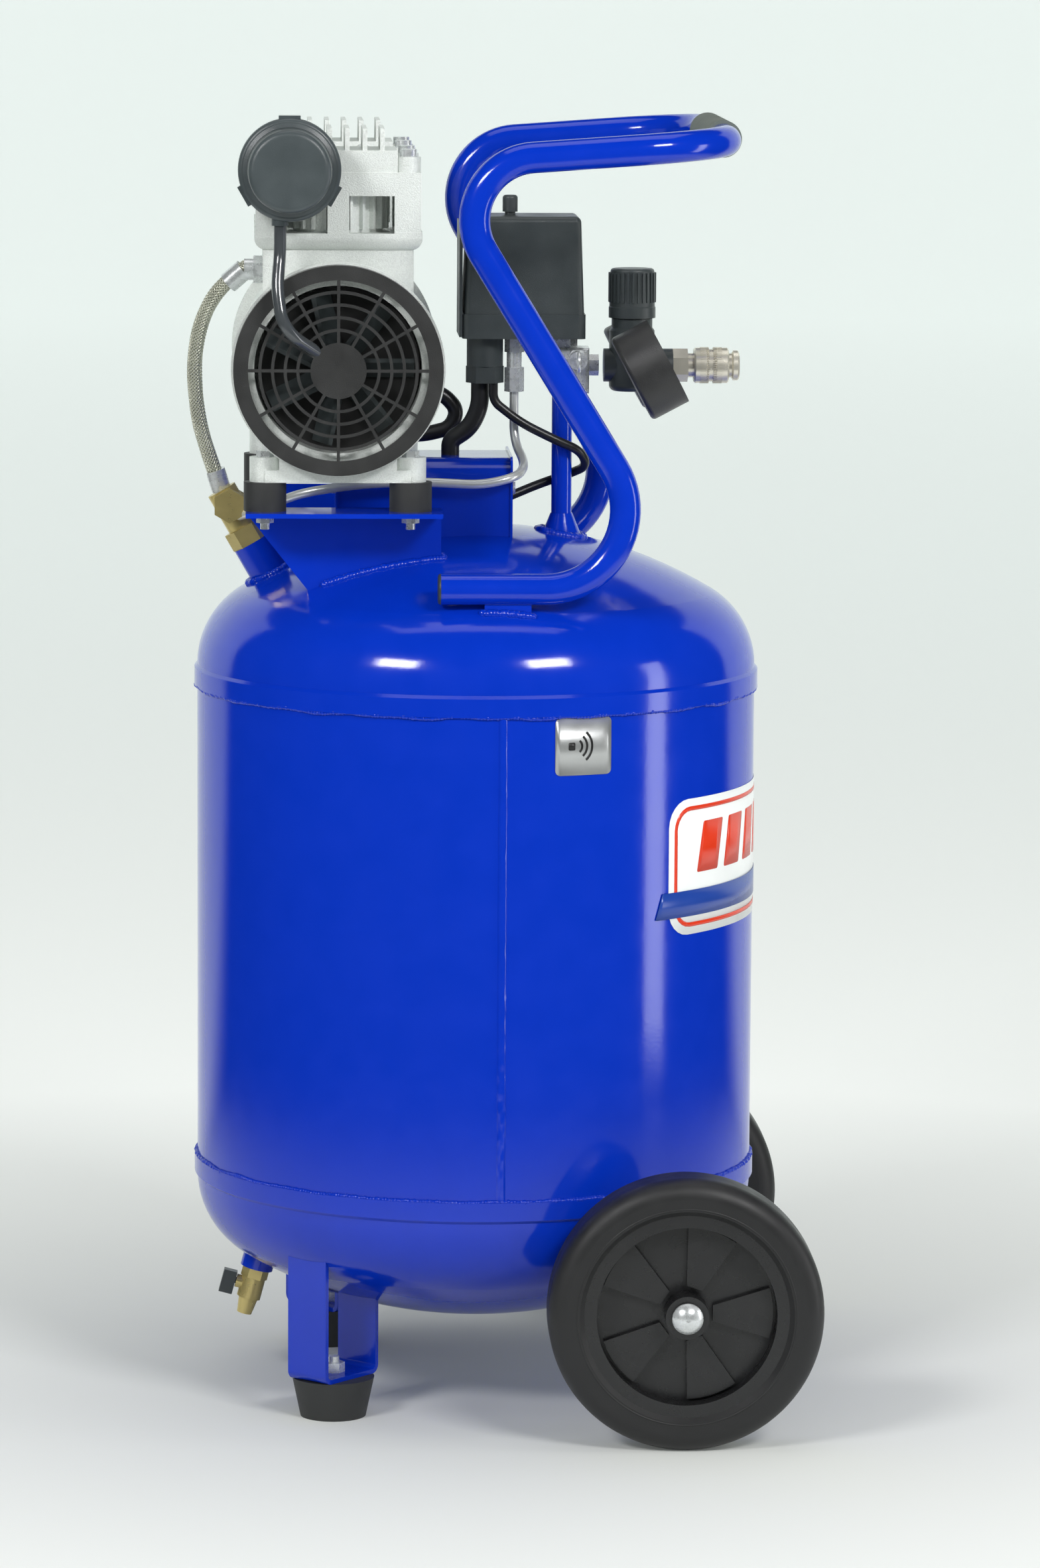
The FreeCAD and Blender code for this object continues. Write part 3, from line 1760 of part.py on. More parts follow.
def valve_place(distance):
    return (valve_base[0], f"{valve_base[1]} - ({distance})", valve_base[2])


valve_hex = hexagon("7", "7", valve_place("0"), (0, -1, 0))
valve_barrel = cylinder("6", "14", valve_place("7"), (0, -1, 0))
valve_bore = cylinder("2 + running_gap", "16", valve_place("6"), (0, -1, 0))
safety_valve = cut(fuse(valve_hex, valve_barrel), valve_bore)
part(
    "pipe_fittings",
    group(
        cut(hose_boss, braided_hose),
        cut(ferrule, braided_hose, check_body),
        cut(unloader_stack, unloader_tube),
        outlet_nipple,
        switch_collar,
        safety_valve,
    ),
)
pull_stem = cylinder("2", "17", valve_place("7"), (0, -1, 0))
pull_ring = doc.addObject("Part::Torus", "PullRing")
bind(pull_ring, Radius1="6", Radius2="1.2")
place(pull_ring, valve_place("30"), (1, 0, 0))
part("safety_pull", fuse(pull_stem, pull_ring))

# ------------------------------------------------- regulator and gauges

regulator_turned = turned(
    [
        ("0", "regulator_base"),
        ("regulator_radius - 4", "regulator_base"),
        ("regulator_radius", "regulator_base + 4", "4"),
        ("regulator_radius", "regulator_top - 8"),
        ("regulator_radius - 1.5", "regulator_top - 6"),
        ("regulator_radius - 1.5", "regulator_top"),
        ("0", "regulator_top"),
    ],
    ("regulator_x", "0", "0"),
)
nipple_end = f"{manifold_right} + 10"
regulator_ports = cylinder(
    "port_radius",
    f"coupler_start - ({nipple_end})",
    (nipple_end, "0", "outlet_height"),
    (1, 0, 0),
)
gauge_entry = "gauge_side - gauge_radius"
regulator_cross = cylinder(
    "8",
    f"2 * ({gauge_entry})",
    ("regulator_x + 4", f"-({gauge_entry})", "outlet_height"),
    (0, 1, 0),
)
stem_bore = cylinder(
    "regulator_stem_radius + running_gap",
    "14",
    ("regulator_x", "0", "regulator_top - 13"),
)
part(
    "regulator_body",
    cut(fuse(regulator_turned, regulator_ports, regulator_cross), stem_bore),
)
part(
    "regulator_stem",
    cylinder(
        "regulator_stem_radius", "34", ("regulator_x", "0", "regulator_top - 12")
    ),
)
knob_top = "0.5 + regulator_knob_height"
part(
    "regulator_knob",
    turned(
        [
            ("regulator_stem_radius + running_gap", "0.5"),
            ("regulator_knob_radius", "0.5"),
            ("regulator_knob_radius", "7.5"),
            ("regulator_knob_radius - 0.4", "8"),
            ("regulator_knob_radius - 1", f"{knob_top} - 2"),
            ("regulator_knob_radius - 3", knob_top, "2"),
            ("0", knob_top),
            ("0", f"{knob_top} - 4"),
            ("regulator_stem_radius + running_gap", f"{knob_top} - 4"),
        ],
        ("regulator_x", "0", "regulator_top"),
    ),
)

gauge_angle = math.radians(number("gauge_tilt"))
GAUGE_AXIS = (math.cos(gauge_angle), 0, math.sin(gauge_angle))
gauge_direction = ("cos(gauge_tilt)", "0", "sin(gauge_tilt)")


def gauge_place(side, distance):
    centre = ("gauge_x", f"{side} * gauge_side", "outlet_height")
    return along(centre, gauge_direction, distance)


half_gauge = "gauge_depth / 2"
dial_front = f"{half_gauge} - 8"


def gauge_case(side):
    return turned(
        [
            ("0", f"-{half_gauge}"),
            ("gauge_radius - 3", f"-{half_gauge}"),
            ("gauge_radius", f"3 - {half_gauge}", "3"),
            ("gauge_radius", half_gauge),
            ("gauge_radius - gauge_wall * 1.5", half_gauge),
            ("gauge_radius - gauge_wall * 1.5", f"{half_gauge} - 2"),
            ("gauge_radius - gauge_wall", f"{half_gauge} - 2"),
            ("gauge_radius - gauge_wall", f"{dial_front} - 1"),
            ("0", f"{dial_front} - 1"),
        ],
        gauge_place(side, 0),
        GAUGE_AXIS,
    )


def gauge_dial(side):
    return turned(
        [
            ("0", f"{dial_front} - 1"),
            ("gauge_radius - gauge_wall", f"{dial_front} - 1"),
            ("gauge_radius - gauge_wall", dial_front),
            ("0", dial_front),
        ],
        gauge_place(side, 0),
        GAUGE_AXIS,
    )


def gauge_lens(side):
    return turned(
        [
            ("0", f"{half_gauge} - 2 - lens_thickness"),
            ("gauge_radius - gauge_wall", f"{half_gauge} - 2 - lens_thickness"),
            ("gauge_radius - gauge_wall", f"{half_gauge} - 2"),
            ("0", f"{half_gauge} - 2"),
        ],
        gauge_place(side, 0),
        GAUGE_AXIS,
    )


part("gauge_cases", both_sides(gauge_case))
part("gauge_dials", both_sides(gauge_dial))
part("gauge_lenses", both_sides(gauge_lens))

NEEDLE_REST = 225


def gauge_needle(side):
    """A pointer and its boss, which rest at zero, low on the left of the dial."""
    boss = turned(
        [("0", "0"), ("3", "0"), ("3", "1.6"), ("0", "1.6")],
        gauge_place(side, f"{dial_front} + 0.4"),
        GAUGE_AXIS,
    )
    pointer = doc.addObject("PartDesign::Body", "Pointer")
    sketch = outline(
        sketch_on(pointer, "XY_Plane"),
        [
            ("-7", "-1.2"),
            ("gauge_radius - 10", "-0.3"),
            ("gauge_radius - 10", "0.3"),
            ("-7", "1.2"),
        ],
    )
    pad(pointer, sketch, "0.8")
    dial_right = Vector(0, 1, 0)
    dial_up = Vector(-GAUGE_AXIS[2], 0, GAUGE_AXIS[0])
    turn = Rotation(dial_right, dial_up, Vector(*GAUGE_AXIS), "ZXY")
    rest = turn.multiply(Rotation(Vector(0, 0, 1), NEEDLE_REST))
    place(pointer, gauge_place(side, f"{dial_front} + 0.8"), rotation=rest)
    return fuse(boss, pointer)


part("gauge_needle_near", gauge_needle(-1))
part("gauge_needle_far", gauge_needle(1))

# --------------------------------------------------------- quick coupler

coupler_hex = hexagon(
    "11",
    "coupler_hex_end - coupler_start",
    ("coupler_start", "0", "outlet_height"),
    (1, 0, 0),
)
coupler_barrel = turned(
    [
        ("0", "coupler_hex_end - 1"),
        ("coupler_radius", "coupler_hex_end - 1"),
        ("coupler_radius", "coupler_end - 5"),
        ("coupler_radius + 2", "coupler_end - 4"),
        ("coupler_radius + 2", "coupler_end - 1"),
        ("coupler_radius + 1", "coupler_end"),
        ("0", "coupler_end"),
    ],
    (0, 0, "outlet_height"),
    (1, 0, 0),
)
coupler_hole = cylinder(
    "coupler_bore",
    "coupler_bore_length + 1",
    ("coupler_end - coupler_bore_length", "0", "outlet_height"),
    (1, 0, 0),
)
part("coupler_body", cut(fuse(coupler_hex, coupler_barrel), coupler_hole))
part(
    "coupler_sleeve",
    turned(
        [
            ("coupler_radius + sleeve_gap", "sleeve_start"),
            ("sleeve_radius - 1", "sleeve_start"),
            ("sleeve_radius", "sleeve_start + 1"),
            ("sleeve_radius", "sleeve_start + 8"),
            ("sleeve_radius - 1", "sleeve_start + 9"),
            ("sleeve_radius - 1", "sleeve_end - 9"),
            ("sleeve_radius", "sleeve_end - 8"),
            ("sleeve_radius", "sleeve_end - 1"),
            ("sleeve_radius - 1", "sleeve_end"),
            ("coupler_radius + sleeve_gap", "sleeve_end"),
        ],
        (0, 0, "outlet_height"),
        (1, 0, 0),
    ),
)

# ------------------------------------------------------------ drain valve

drain_hex = hexagon("9", "7", drain_place("10"), DRAIN_AXIS)
drain_barrel = cylinder("drain_radius", "14", drain_place("17"), DRAIN_AXIS)
drain_nozzle = cone("6.5", "5", "11", drain_place("31"), DRAIN_AXIS)
drain_hole = cylinder("drain_bore", "20", drain_place("23"), DRAIN_AXIS)
HANDLE_AXIS = (-math.cos(drain_tilt_angle), 0, math.sin(drain_tilt_angle))
handle_direction = ("-cos(drain_tilt)", "0", "sin(drain_tilt)")
drain_middle = drain_place("22")


def drain_side(distance):
    return along(drain_middle, handle_direction, distance)


drain_neck = cylinder("4.5", "11", drain_side("0"), HANDLE_AXIS)
drain_seat = cylinder("2.2 + running_gap", "12", drain_side("4"), HANDLE_AXIS)
part(
    "drain_valve",
    cut(fuse(drain_hex, drain_barrel, drain_nozzle, drain_neck), drain_hole, drain_seat),
)
lever_stem = cylinder("2.2", "10", drain_side("4.5"), HANDLE_AXIS)
lever = doc.addObject("PartDesign::Body", "Lever")
lever_sketch = outline(
    sketch_on(lever, "XY_Plane"),
    [
        ("-6", "-4"),
        ("8", "-3.2"),
        ("8", "3.2", "3.4"),
        ("-6", "4"),
    ],
)
pad(lever, lever_sketch, "9")
lever_turn = Rotation(Vector(*DRAIN_AXIS), Vector(0, 1, 0), Vector(*HANDLE_AXIS), "ZXY")
place(lever, drain_side("11.5"), rotation=lever_turn)
part("drain_handle", fuse(lever_stem, lever))

# ------------------------------------------------------- check and export

doc.recompute()
for thing in doc.Objects:
    if "Invalid" in thing.State or "Error" in thing.State:
        raise ValueError(f"{thing.Label} ({thing.TypeId}) failed: {thing.State}")
os.makedirs("parts", exist_ok=True)
for label, thing in PARTS.items():
    if thing.Shape.isNull() or not thing.Shape.isValid():
        raise ValueError(f"{label} has no valid shape")
    if not thing.Shape.Solids:
        raise ValueError(f"{label} holds no solid")
for label, thing in PARTS.items():
    thing.Shape.exportStep(f"parts/{label}.step")
print(f"{len(PARTS)} sub-parts written")
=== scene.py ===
"""Looks for an upright oil-free air compressor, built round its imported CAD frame."""

import math

import bmesh
import bpy
from mathutils import Matrix, Vector, noise
from mathutils.bvhtree import BVHTree


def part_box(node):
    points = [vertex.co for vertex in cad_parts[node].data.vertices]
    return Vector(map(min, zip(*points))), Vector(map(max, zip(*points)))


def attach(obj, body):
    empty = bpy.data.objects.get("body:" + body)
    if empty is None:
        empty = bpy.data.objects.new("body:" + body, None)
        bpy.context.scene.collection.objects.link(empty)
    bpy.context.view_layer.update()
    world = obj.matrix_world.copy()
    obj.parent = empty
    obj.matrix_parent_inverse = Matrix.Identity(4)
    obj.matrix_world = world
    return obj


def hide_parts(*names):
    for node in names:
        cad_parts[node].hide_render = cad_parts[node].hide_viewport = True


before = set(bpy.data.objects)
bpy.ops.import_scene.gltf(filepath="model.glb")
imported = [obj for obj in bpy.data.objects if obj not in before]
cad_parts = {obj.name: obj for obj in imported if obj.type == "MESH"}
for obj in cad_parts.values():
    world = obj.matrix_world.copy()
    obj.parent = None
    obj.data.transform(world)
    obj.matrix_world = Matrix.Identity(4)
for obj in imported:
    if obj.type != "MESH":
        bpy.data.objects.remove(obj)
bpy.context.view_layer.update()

bl_info = {
    "name": "Air Compressor Looks",
    "version": (1, 0, 0),
    "blender": (4, 5, 0),
    "location": "View3D > Sidebar > Compressor",
    "description": "Builds the paint, castings, welds, hoses, dials and stage of an upright air compressor",
    "category": "Object",
}

# The tank's axis stands a little behind the middle of the machine.
SHELL_LOW, SHELL_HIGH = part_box("tank_shell")
AXIS_X = (SHELL_LOW.x + SHELL_HIGH.x) / 2
TANK_RADIUS = (SHELL_HIGH.x - SHELL_LOW.x) / 2
BAND_HEIGHT = 0.014
BAND_PROUD = 0.002
SEAM_LOW = SHELL_LOW.z - 0.002
SEAM_HIGH = SHELL_HIGH.z + 0.002


# ---------------------------------------------------------------- sizes and colours


class CompressorColours(bpy.types.PropertyGroup):
    paint: bpy.props.FloatVectorProperty(
        name="Paint",
        description="Powder coat on the tank, handle and brackets",
        subtype="COLOR",
        size=3,
        min=0,
        max=1,
        default=(0.0012, 0.027, 0.42),
    )
    casting: bpy.props.FloatVectorProperty(
        name="Casting",
        description="Bare aluminium castings of the pump",
        subtype="COLOR",
        size=3,
        min=0,
        max=1,
        default=(0.80, 0.83, 0.80),
    )
    rubber: bpy.props.FloatVectorProperty(
        name="Rubber",
        description="Tyres, feet and pump mounts",
        subtype="COLOR",
        size=3,
        min=0,
        max=1,
        default=(0.012, 0.012, 0.013),
    )
    badge_red: bpy.props.FloatVectorProperty(
        name="Badge Red",
        description="Outline of the front badge",
        subtype="COLOR",
        size=3,
        min=0,
        max=1,
        default=(0.66, 0.034, 0.006),
    )


class WeldSizes(bpy.types.PropertyGroup):
    bead_radius: bpy.props.FloatProperty(
        name="Bead Radius",
        description="Half the width of a round weld bead",
        default=0.0024,
        min=0.0005,
        unit="LENGTH",
    )
    ripple_pitch: bpy.props.FloatProperty(
        name="Ripple Pitch",
        description="Distance from one weld ripple to the next",
        default=0.0021,
        min=0.0005,
        unit="LENGTH",
    )
    seam_width: bpy.props.FloatProperty(
        name="Side Seam Width",
        description="Width of the upright seam of the shell",
        default=0.006,
        min=0.001,
        unit="LENGTH",
    )
    seam_angle: bpy.props.FloatProperty(
        name="Side Seam Angle",
        description="Where the upright seam stands round the tank, from the front",
        default=math.radians(-86.5),
        subtype="ANGLE",
    )


class StageSizes(bpy.types.PropertyGroup):
    focal_length: bpy.props.FloatProperty(
        name="Focal Length", description="Lens of the camera in millimetres", default=152.3, min=20
    )
    camera_place: bpy.props.FloatVectorProperty(
        name="Camera Place",
        description="Where the camera stands",
        subtype="TRANSLATION",
        size=3,
        default=(-0.167, -4.3786, 1.0009),
    )
    camera_turn: bpy.props.FloatVectorProperty(
        name="Camera Turn",
        description="Turn of the camera about X, Y and Z",
        subtype="EULER",
        size=3,
        default=(math.radians(82.234), math.radians(-0.337), math.radians(-2.32)),
    )


# ---------------------------------------------------------------- materials


class Nodes:
    """Short calls for adding and joining the nodes of one tree."""

    def __init__(self, tree):
        self.tree = tree

    def add(self, kind, **settings):
        node = self.tree.nodes.new(kind)
        for name, value in settings.items():
            if name in node.inputs:
                node.inputs[name].default_value = value
            else:
                setattr(node, name, value)
        return node

    def join(self, *pairs):
        for start, end in pairs:
            self.tree.links.new(start, end)


def shader_group(name, inputs, outputs):
    """An empty shader node group with float inputs {name: default} and outputs {name: kind}."""
    tree = bpy.data.node_groups.new(name, "ShaderNodeTree")
    for label, value in inputs.items():
        socket = tree.interface.new_socket(label, in_out="INPUT", socket_type="NodeSocketFloat")
        socket.default_value = value
    for label, kind in outputs.items():
        tree.interface.new_socket(label, in_out="OUTPUT", socket_type=kind)
    return tree, tree.nodes.new("NodeGroupInput"), tree.nodes.new("NodeGroupOutput")


def grain_group():
    """Two sizes of noise in one height, with a mask of the broad patches."""
    tree, start, end = shader_group(
        "Surface Grain",
        {"Fine Scale": 900, "Broad Scale": 60, "Broad Share": 0.3},
        {"Height": "NodeSocketFloat", "Patches": "NodeSocketFloat"},
    )
    nodes = Nodes(tree)
    place = nodes.add("ShaderNodeTexCoord")
    fine = nodes.add("ShaderNodeTexNoise", Detail=3.0, Roughness=0.6)
    broad = nodes.add("ShaderNodeTexNoise", Detail=4.0, Roughness=0.55)
    mix = nodes.add("ShaderNodeMix", data_type="FLOAT")
    spread = nodes.add("ShaderNodeMapRange")
    spread.inputs["From Min"].default_value = 0.3
    spread.inputs["From Max"].default_value = 0.7
    nodes.join(
        (place.outputs["Object"], fine.inputs["Vector"]),
        (place.outputs["Object"], broad.inputs["Vector"]),
        (start.outputs["Fine Scale"], fine.inputs["Scale"]),
        (start.outputs["Broad Scale"], broad.inputs["Scale"]),
        (start.outputs["Broad Share"], mix.inputs[0]),
        (fine.outputs["Fac"], mix.inputs[2]),
        (broad.outputs["Fac"], mix.inputs[3]),
        (mix.outputs[0], end.inputs["Height"]),
        (broad.outputs["Fac"], spread.inputs["Value"]),
        (spread.outputs["Result"], end.inputs["Patches"]),
    )
    return tree


def dust_group():
    """A mask of thin dust that lies on the upper faces and in patches."""
    tree, start, end = shader_group(
        "Dust", {"Amount": 0.2, "Scale": 25}, {"Mask": "NodeSocketFloat"}
    )
    nodes = Nodes(tree)
    place = nodes.add("ShaderNodeTexCoord")
    cloud = nodes.add("ShaderNodeTexNoise", Detail=5.0, Roughness=0.65)
    facing = nodes.add("ShaderNodeNewGeometry")
    split = nodes.add("ShaderNodeSeparateXYZ")
    upward = nodes.add("ShaderNodeMapRange")
    upward.inputs["From Min"].default_value = -0.2
    patches = nodes.add("ShaderNodeMapRange")
    patches.inputs["From Min"].default_value = 0.35
    patches.inputs["From Max"].default_value = 0.75
    both = nodes.add("ShaderNodeMath", operation="MULTIPLY")
    amount = nodes.add("ShaderNodeMath", operation="MULTIPLY")
    nodes.join(
        (place.outputs["Object"], cloud.inputs["Vector"]),
        (start.outputs["Scale"], cloud.inputs["Scale"]),
        (facing.outputs["Normal"], split.inputs["Vector"]),
        (split.outputs["Z"], upward.inputs["Value"]),
        (cloud.outputs["Fac"], patches.inputs["Value"]),
        (upward.outputs["Result"], both.inputs[0]),
        (patches.outputs["Result"], both.inputs[1]),
        (both.outputs["Value"], amount.inputs[0]),
        (start.outputs["Amount"], amount.inputs[1]),
        (amount.outputs["Value"], end.inputs["Mask"]),
    )
    return tree


GROUPS = {}
FINISHES = {}


def finish(
    name,
    colour,
    rough=(0.4, 0.5),
    metallic=0.0,
    fine=900,
    broad=60,
    share=0.3,
    bump=0.1,
    depth=0.0005,
    tint=0.85,
    dust=0.0,
    **settings,
):
    """One material: colour and roughness vary in patches, and the grain gives a bump.

    tint is how dark the darker patches are, and dust is how much of it lies on top.
    The other settings go straight to the sockets of the shader.
    """
    if not GROUPS:
        GROUPS["grain"] = grain_group()
        GROUPS["dust"] = dust_group()
    material = bpy.data.materials.new(name)
    material.use_nodes = True
    material.node_tree.nodes.clear()
    nodes = Nodes(material.node_tree)
    shader = nodes.add("ShaderNodeBsdfPrincipled", Metallic=metallic)
    for socket, value in settings.items():
        shader.inputs[socket.replace("_", " ")].default_value = value
    out = nodes.add("ShaderNodeOutputMaterial")
    grain = nodes.add("ShaderNodeGroup", node_tree=GROUPS["grain"])
    grain.inputs["Fine Scale"].default_value = fine
    grain.inputs["Broad Scale"].default_value = broad
    grain.inputs["Broad Share"].default_value = share
    colours = nodes.add("ShaderNodeMix", data_type="RGBA")
    colours.inputs[6].default_value = (*[c * tint for c in colour], 1)
    colours.inputs[7].default_value = (*colour, 1)
    dusty = nodes.add("ShaderNodeMix", data_type="RGBA")
    dusty.inputs[7].default_value = (0.45, 0.44, 0.42, 1)
    cloud = nodes.add("ShaderNodeGroup", node_tree=GROUPS["dust"])
    cloud.inputs["Amount"].default_value = dust
    gloss = nodes.add("ShaderNodeMapRange")
    gloss.inputs["To Min"].default_value = rough[0]
    gloss.inputs["To Max"].default_value = rough[1]
    relief = nodes.add("ShaderNodeBump", Strength=bump, Distance=depth)
    nodes.join(
        (grain.outputs["Patches"], colours.inputs[0]),
        (colours.outputs[2], dusty.inputs[6]),
        (cloud.outputs["Mask"], dusty.inputs[0]),
        (dusty.outputs[2], shader.inputs["Base Color"]),
        (grain.outputs["Patches"], gloss.inputs["Value"]),
        (gloss.outputs["Result"], shader.inputs["Roughness"]),
        (grain.outputs["Height"], relief.inputs["Height"]),
        (relief.outputs["Normal"], shader.inputs["Normal"]),
        (shader.outputs["BSDF"], out.inputs["Surface"]),
    )
    FINISHES[name] = material
    return material


def make_finishes(colours):
    finish(
        "Blue Powder Coat",
        colours.paint,
        rough=(0.10, 0.14),
        fine=420,
        broad=45,
        bump=0.10,
        depth=0.0003,
        tint=0.95,
        dust=0.0,
        Specular_IOR_Level=0.5,
    )
    finish(
        "Cast Aluminium",
        colours.casting,
        rough=(0.34, 0.5),
        metallic=0.4,
        fine=1500,
        broad=900,
        bump=0.7,
        depth=0.0006,
        tint=0.86,
        dust=0.02,
    )
    finish("Satin Tube", (0.72, 0.73, 0.72), (0.28, 0.36), 0.6, fine=1800, bump=0.08)
    finish("Bright Zinc", (0.78, 0.80, 0.81), (0.2, 0.36), 0.65, broad=220, bump=0.12, tint=0.85)
    finish("Ground Steel", (0.42, 0.42, 0.43), (0.2, 0.3), 1.0, bump=0.05)
    finish("Core Steel", (0.2, 0.18, 0.16), (0.4, 0.6), 1.0, bump=0.2, tint=0.6)
    finish("Wire Braid", (0.66, 0.66, 0.55), (0.3, 0.42), 0.6, bump=0.1)
    finish("Nickel Plate", (0.74, 0.70, 0.60), (0.2, 0.3), 0.65, bump=0.05, tint=0.92)
    finish("Yellow Brass", (0.62, 0.50, 0.20), (0.24, 0.36), 0.65, broad=60, bump=0.1, tint=0.9)
    finish(
        "Tyre Rubber", colours.rubber, (0.42, 0.55), fine=1300, bump=0.15, dust=0.03, tint=0.8
    )
    finish("Mount Rubber", (0.026, 0.027, 0.027), (0.5, 0.65), bump=0.25, dust=0.03)
    finish("Grip Foam", (0.13, 0.15, 0.13), (0.7, 0.85), fine=2600, bump=0.6, dust=0.1)
    finish("Hub Plastic", (0.014, 0.014, 0.015), (0.22, 0.34), fine=1500, bump=0.12, dust=0.01)
    finish(
        "Black Plastic", (0.036, 0.044, 0.046), (0.3, 0.42), fine=1900, bump=0.35, dust=0.01
    )
    finish("Satin Black", (0.028, 0.028, 0.028), (0.3, 0.45), fine=1400, bump=0.5, dust=0.015)
    finish("Slate Black", (0.055, 0.067, 0.072), (0.28, 0.38), fine=1900, bump=0.25)
    finish("Cable Sheath", (0.012, 0.012, 0.013), (0.3, 0.4), bump=0.1)
    finish(
        "Dark Clear Hose",
        (0.05, 0.055, 0.06),
        (0.12, 0.2),
        bump=0.04,
        Coat_Weight=0.4,
    )
    finish("Pale Can", (0.7, 0.7, 0.66), (0.3, 0.4), bump=0.05)
    finish("Red Knob", (0.5, 0.02, 0.015), (0.25, 0.35), bump=0.05)
    finish("Galvanised Sheet", (0.6, 0.61, 0.6), (0.3, 0.45), 1.0, broad=120, tint=0.75)
    finish("Dial Face", (0.8, 0.8, 0.78), (0.4, 0.5), bump=0.02)
    finish("Needle Paint", (0.55, 0.03, 0.02), (0.35, 0.45), bump=0.02)
    finish(
        "Gauge Lens",
        (0.95, 0.97, 0.97),
        (0.02, 0.04),
        bump=0.01,
        tint=0.99,
        Transmission_Weight=1.0,
        IOR=1.49,
    )
    # This black is real print on the dials and side plate, and also the painted shade discs behind the
    # fans.
    finish("Print and Shade Black", (0.012, 0.012, 0.012), (0.4, 0.5), bump=0.02)
    finish("Label Silver", (0.55, 0.56, 0.56), (0.28, 0.4), 0.7, fine=2200, bump=0.1)
    finish("Badge White", (0.82, 0.83, 0.83), (0.2, 0.26), bump=0.02, tint=0.97)
    finish("Badge Red", colours.badge_red, (0.2, 0.26), bump=0.02, tint=0.97)
    finish("Badge Blue", (0.012, 0.05, 0.30), (0.2, 0.26), bump=0.02, tint=0.97)


NODE_FINISHES = {
    "Blue Powder Coat": (
        "tank_shell top_head bottom_head weld_bosses handle_tube foot_brackets "
        "pump_brackets wheel_brackets capacitor_cover riser_pipe"
    ),
    "Cast Aluminium": "motor_case crankcases cylinder_liners cylinder_heads valve_plates "
    "piston_near piston_far",
    "Satin Tube": "aluminium_tubes",
    "Bright Zinc": "wheel_axles mounting_bolts small_screws pipe_fittings safety_pull manifold",
    "Ground Steel": "shaft_bearings regulator_stem",
    "Core Steel": "stator motor_rotor",
    "Wire Braid": "braided_hose",
    "Nickel Plate": "coupler_body coupler_sleeve",
    "Yellow Brass": "check_valve drain_valve",
    "Tyre Rubber": "tyre_near tyre_far",
    "Mount Rubber": "foot_pads rubber_mounts",
    "Grip Foam": "handle_grip",
    "Hub Plastic": "hub_near hub_far",
    "Black Plastic": "handle_caps switch_base switch_lid switch_knob cable_glands "
    "regulator_body regulator_knob cooling_fans drain_handle",
    "Satin Black": "fan_covers gauge_cases",
    "Slate Black": "air_filter",
    "Cable Sheath": "motor_cables capacitor_cable",
    "Dark Clear Hose": "intake_hose",
    "Pale Can": "capacitors",
    "Dial Face": "gauge_dials",
    "Needle Paint": "gauge_needle_near gauge_needle_far",
    "Gauge Lens": "gauge_lenses",
}


# ---------------------------------------------------------------- shared making


def add_piece(name, mesh, material=None, body="tank", smooth=True):
    """Links a finished mesh as a piece that moves with a body."""
    piece = bpy.data.objects.new(name, mesh)
    bpy.context.scene.collection.objects.link(piece)
    if material:
        mesh.materials.clear()
        mesh.materials.append(FINISHES[material])
    for face in mesh.polygons:
        face.use_smooth = smooth
    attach(piece, body)
    return piece


def plain_mesh(thing, name):
    """The evaluated mesh of an object, after which the object is gone."""
    context = bpy.context
    context.view_layer.update()
    evaluated = thing.evaluated_get(context.evaluated_depsgraph_get())
    mesh = bpy.data.meshes.new_from_object(evaluated)
    mesh.name = name
    bpy.data.objects.remove(thing)
    return mesh


def path_curve(name, points, closed=False, smooth=False):
    """A curve object through points; a smooth one is a NURBS curve with them as its cage."""
    curve = bpy.data.curves.new(name, "CURVE")
    curve.dimensions = "3D"
    curve.resolution_u = 12
    spline = curve.splines.new("NURBS" if smooth else "POLY")
    spline.points.add(len(points) - 1)
    for place, co in zip(spline.points, points):
        place.co = (*co, 1)
    spline.use_cyclic_u = closed
    if smooth:
        spline.order_u = 3
        spline.use_endpoint_u = True
    thing = bpy.data.objects.new(name, curve)
    bpy.context.scene.collection.objects.link(thing)
    return thing


def centreline(name, points, spacing):
    """Points an even distance apart on the smooth curve of a route."""
    mesh = plain_mesh(path_curve(name, points, smooth=True), name)
    line = [v.co.copy() for v in mesh.vertices]
    bpy.data.meshes.remove(mesh)
    even, spare = [line[0]], 0.0
    for start, end in zip(line, line[1:]):
        length = (end - start).length
        reach = spacing - spare
        while reach <= length:
            even.append(start.lerp(end, reach / length))
            reach += spacing
        spare = length - (reach - spacing)
    return even


def frames_along(line):
    """Two sideways directions at each point of a line that never twist about it."""
    frames = []
    side = None
    for index, place in enumerate(line):
        ahead = line[min(index + 1, len(line) - 1)] - line[max(index - 1, 0)]
        ahead.normalize()
        if side is None:
            side = ahead.orthogonal().normalized()
        side = (side - ahead * side.dot(ahead)).normalized()
        frames.append((place, side, ahead.cross(side)))
    return frames


def geometry_tree(name, inputs):
    """An empty Geometry Nodes tree with a geometry in, a geometry out and named inputs."""
    tree = bpy.data.node_groups.new(name, "GeometryNodeTree")
    tree.interface.new_socket("Geometry", in_out="INPUT", socket_type="NodeSocketGeometry")
    tree.interface.new_socket("Geometry", in_out="OUTPUT", socket_type="NodeSocketGeometry")
    for label, (kind, value) in inputs.items():
        socket = tree.interface.new_socket(label, in_out="INPUT", socket_type=kind)
        if value is not None:
            socket.default_value = value
    return tree, tree.nodes.new("NodeGroupInput"), tree.nodes.new("NodeGroupOutput")


def grown(thing, tree, name, **values):
    """The mesh that a Geometry Nodes tree makes from an object, with its inputs set by name."""
    modifier = thing.modifiers.new(name, "NODES")
    modifier.node_group = tree
    labels = {
        item.name: item.identifier
        for item in tree.interface.items_tree
        if item.in_out == "INPUT"
    }
    for label, value in values.items():
        modifier[labels[label.replace("_", " ")]] = value
    return plain_mesh(thing, name)


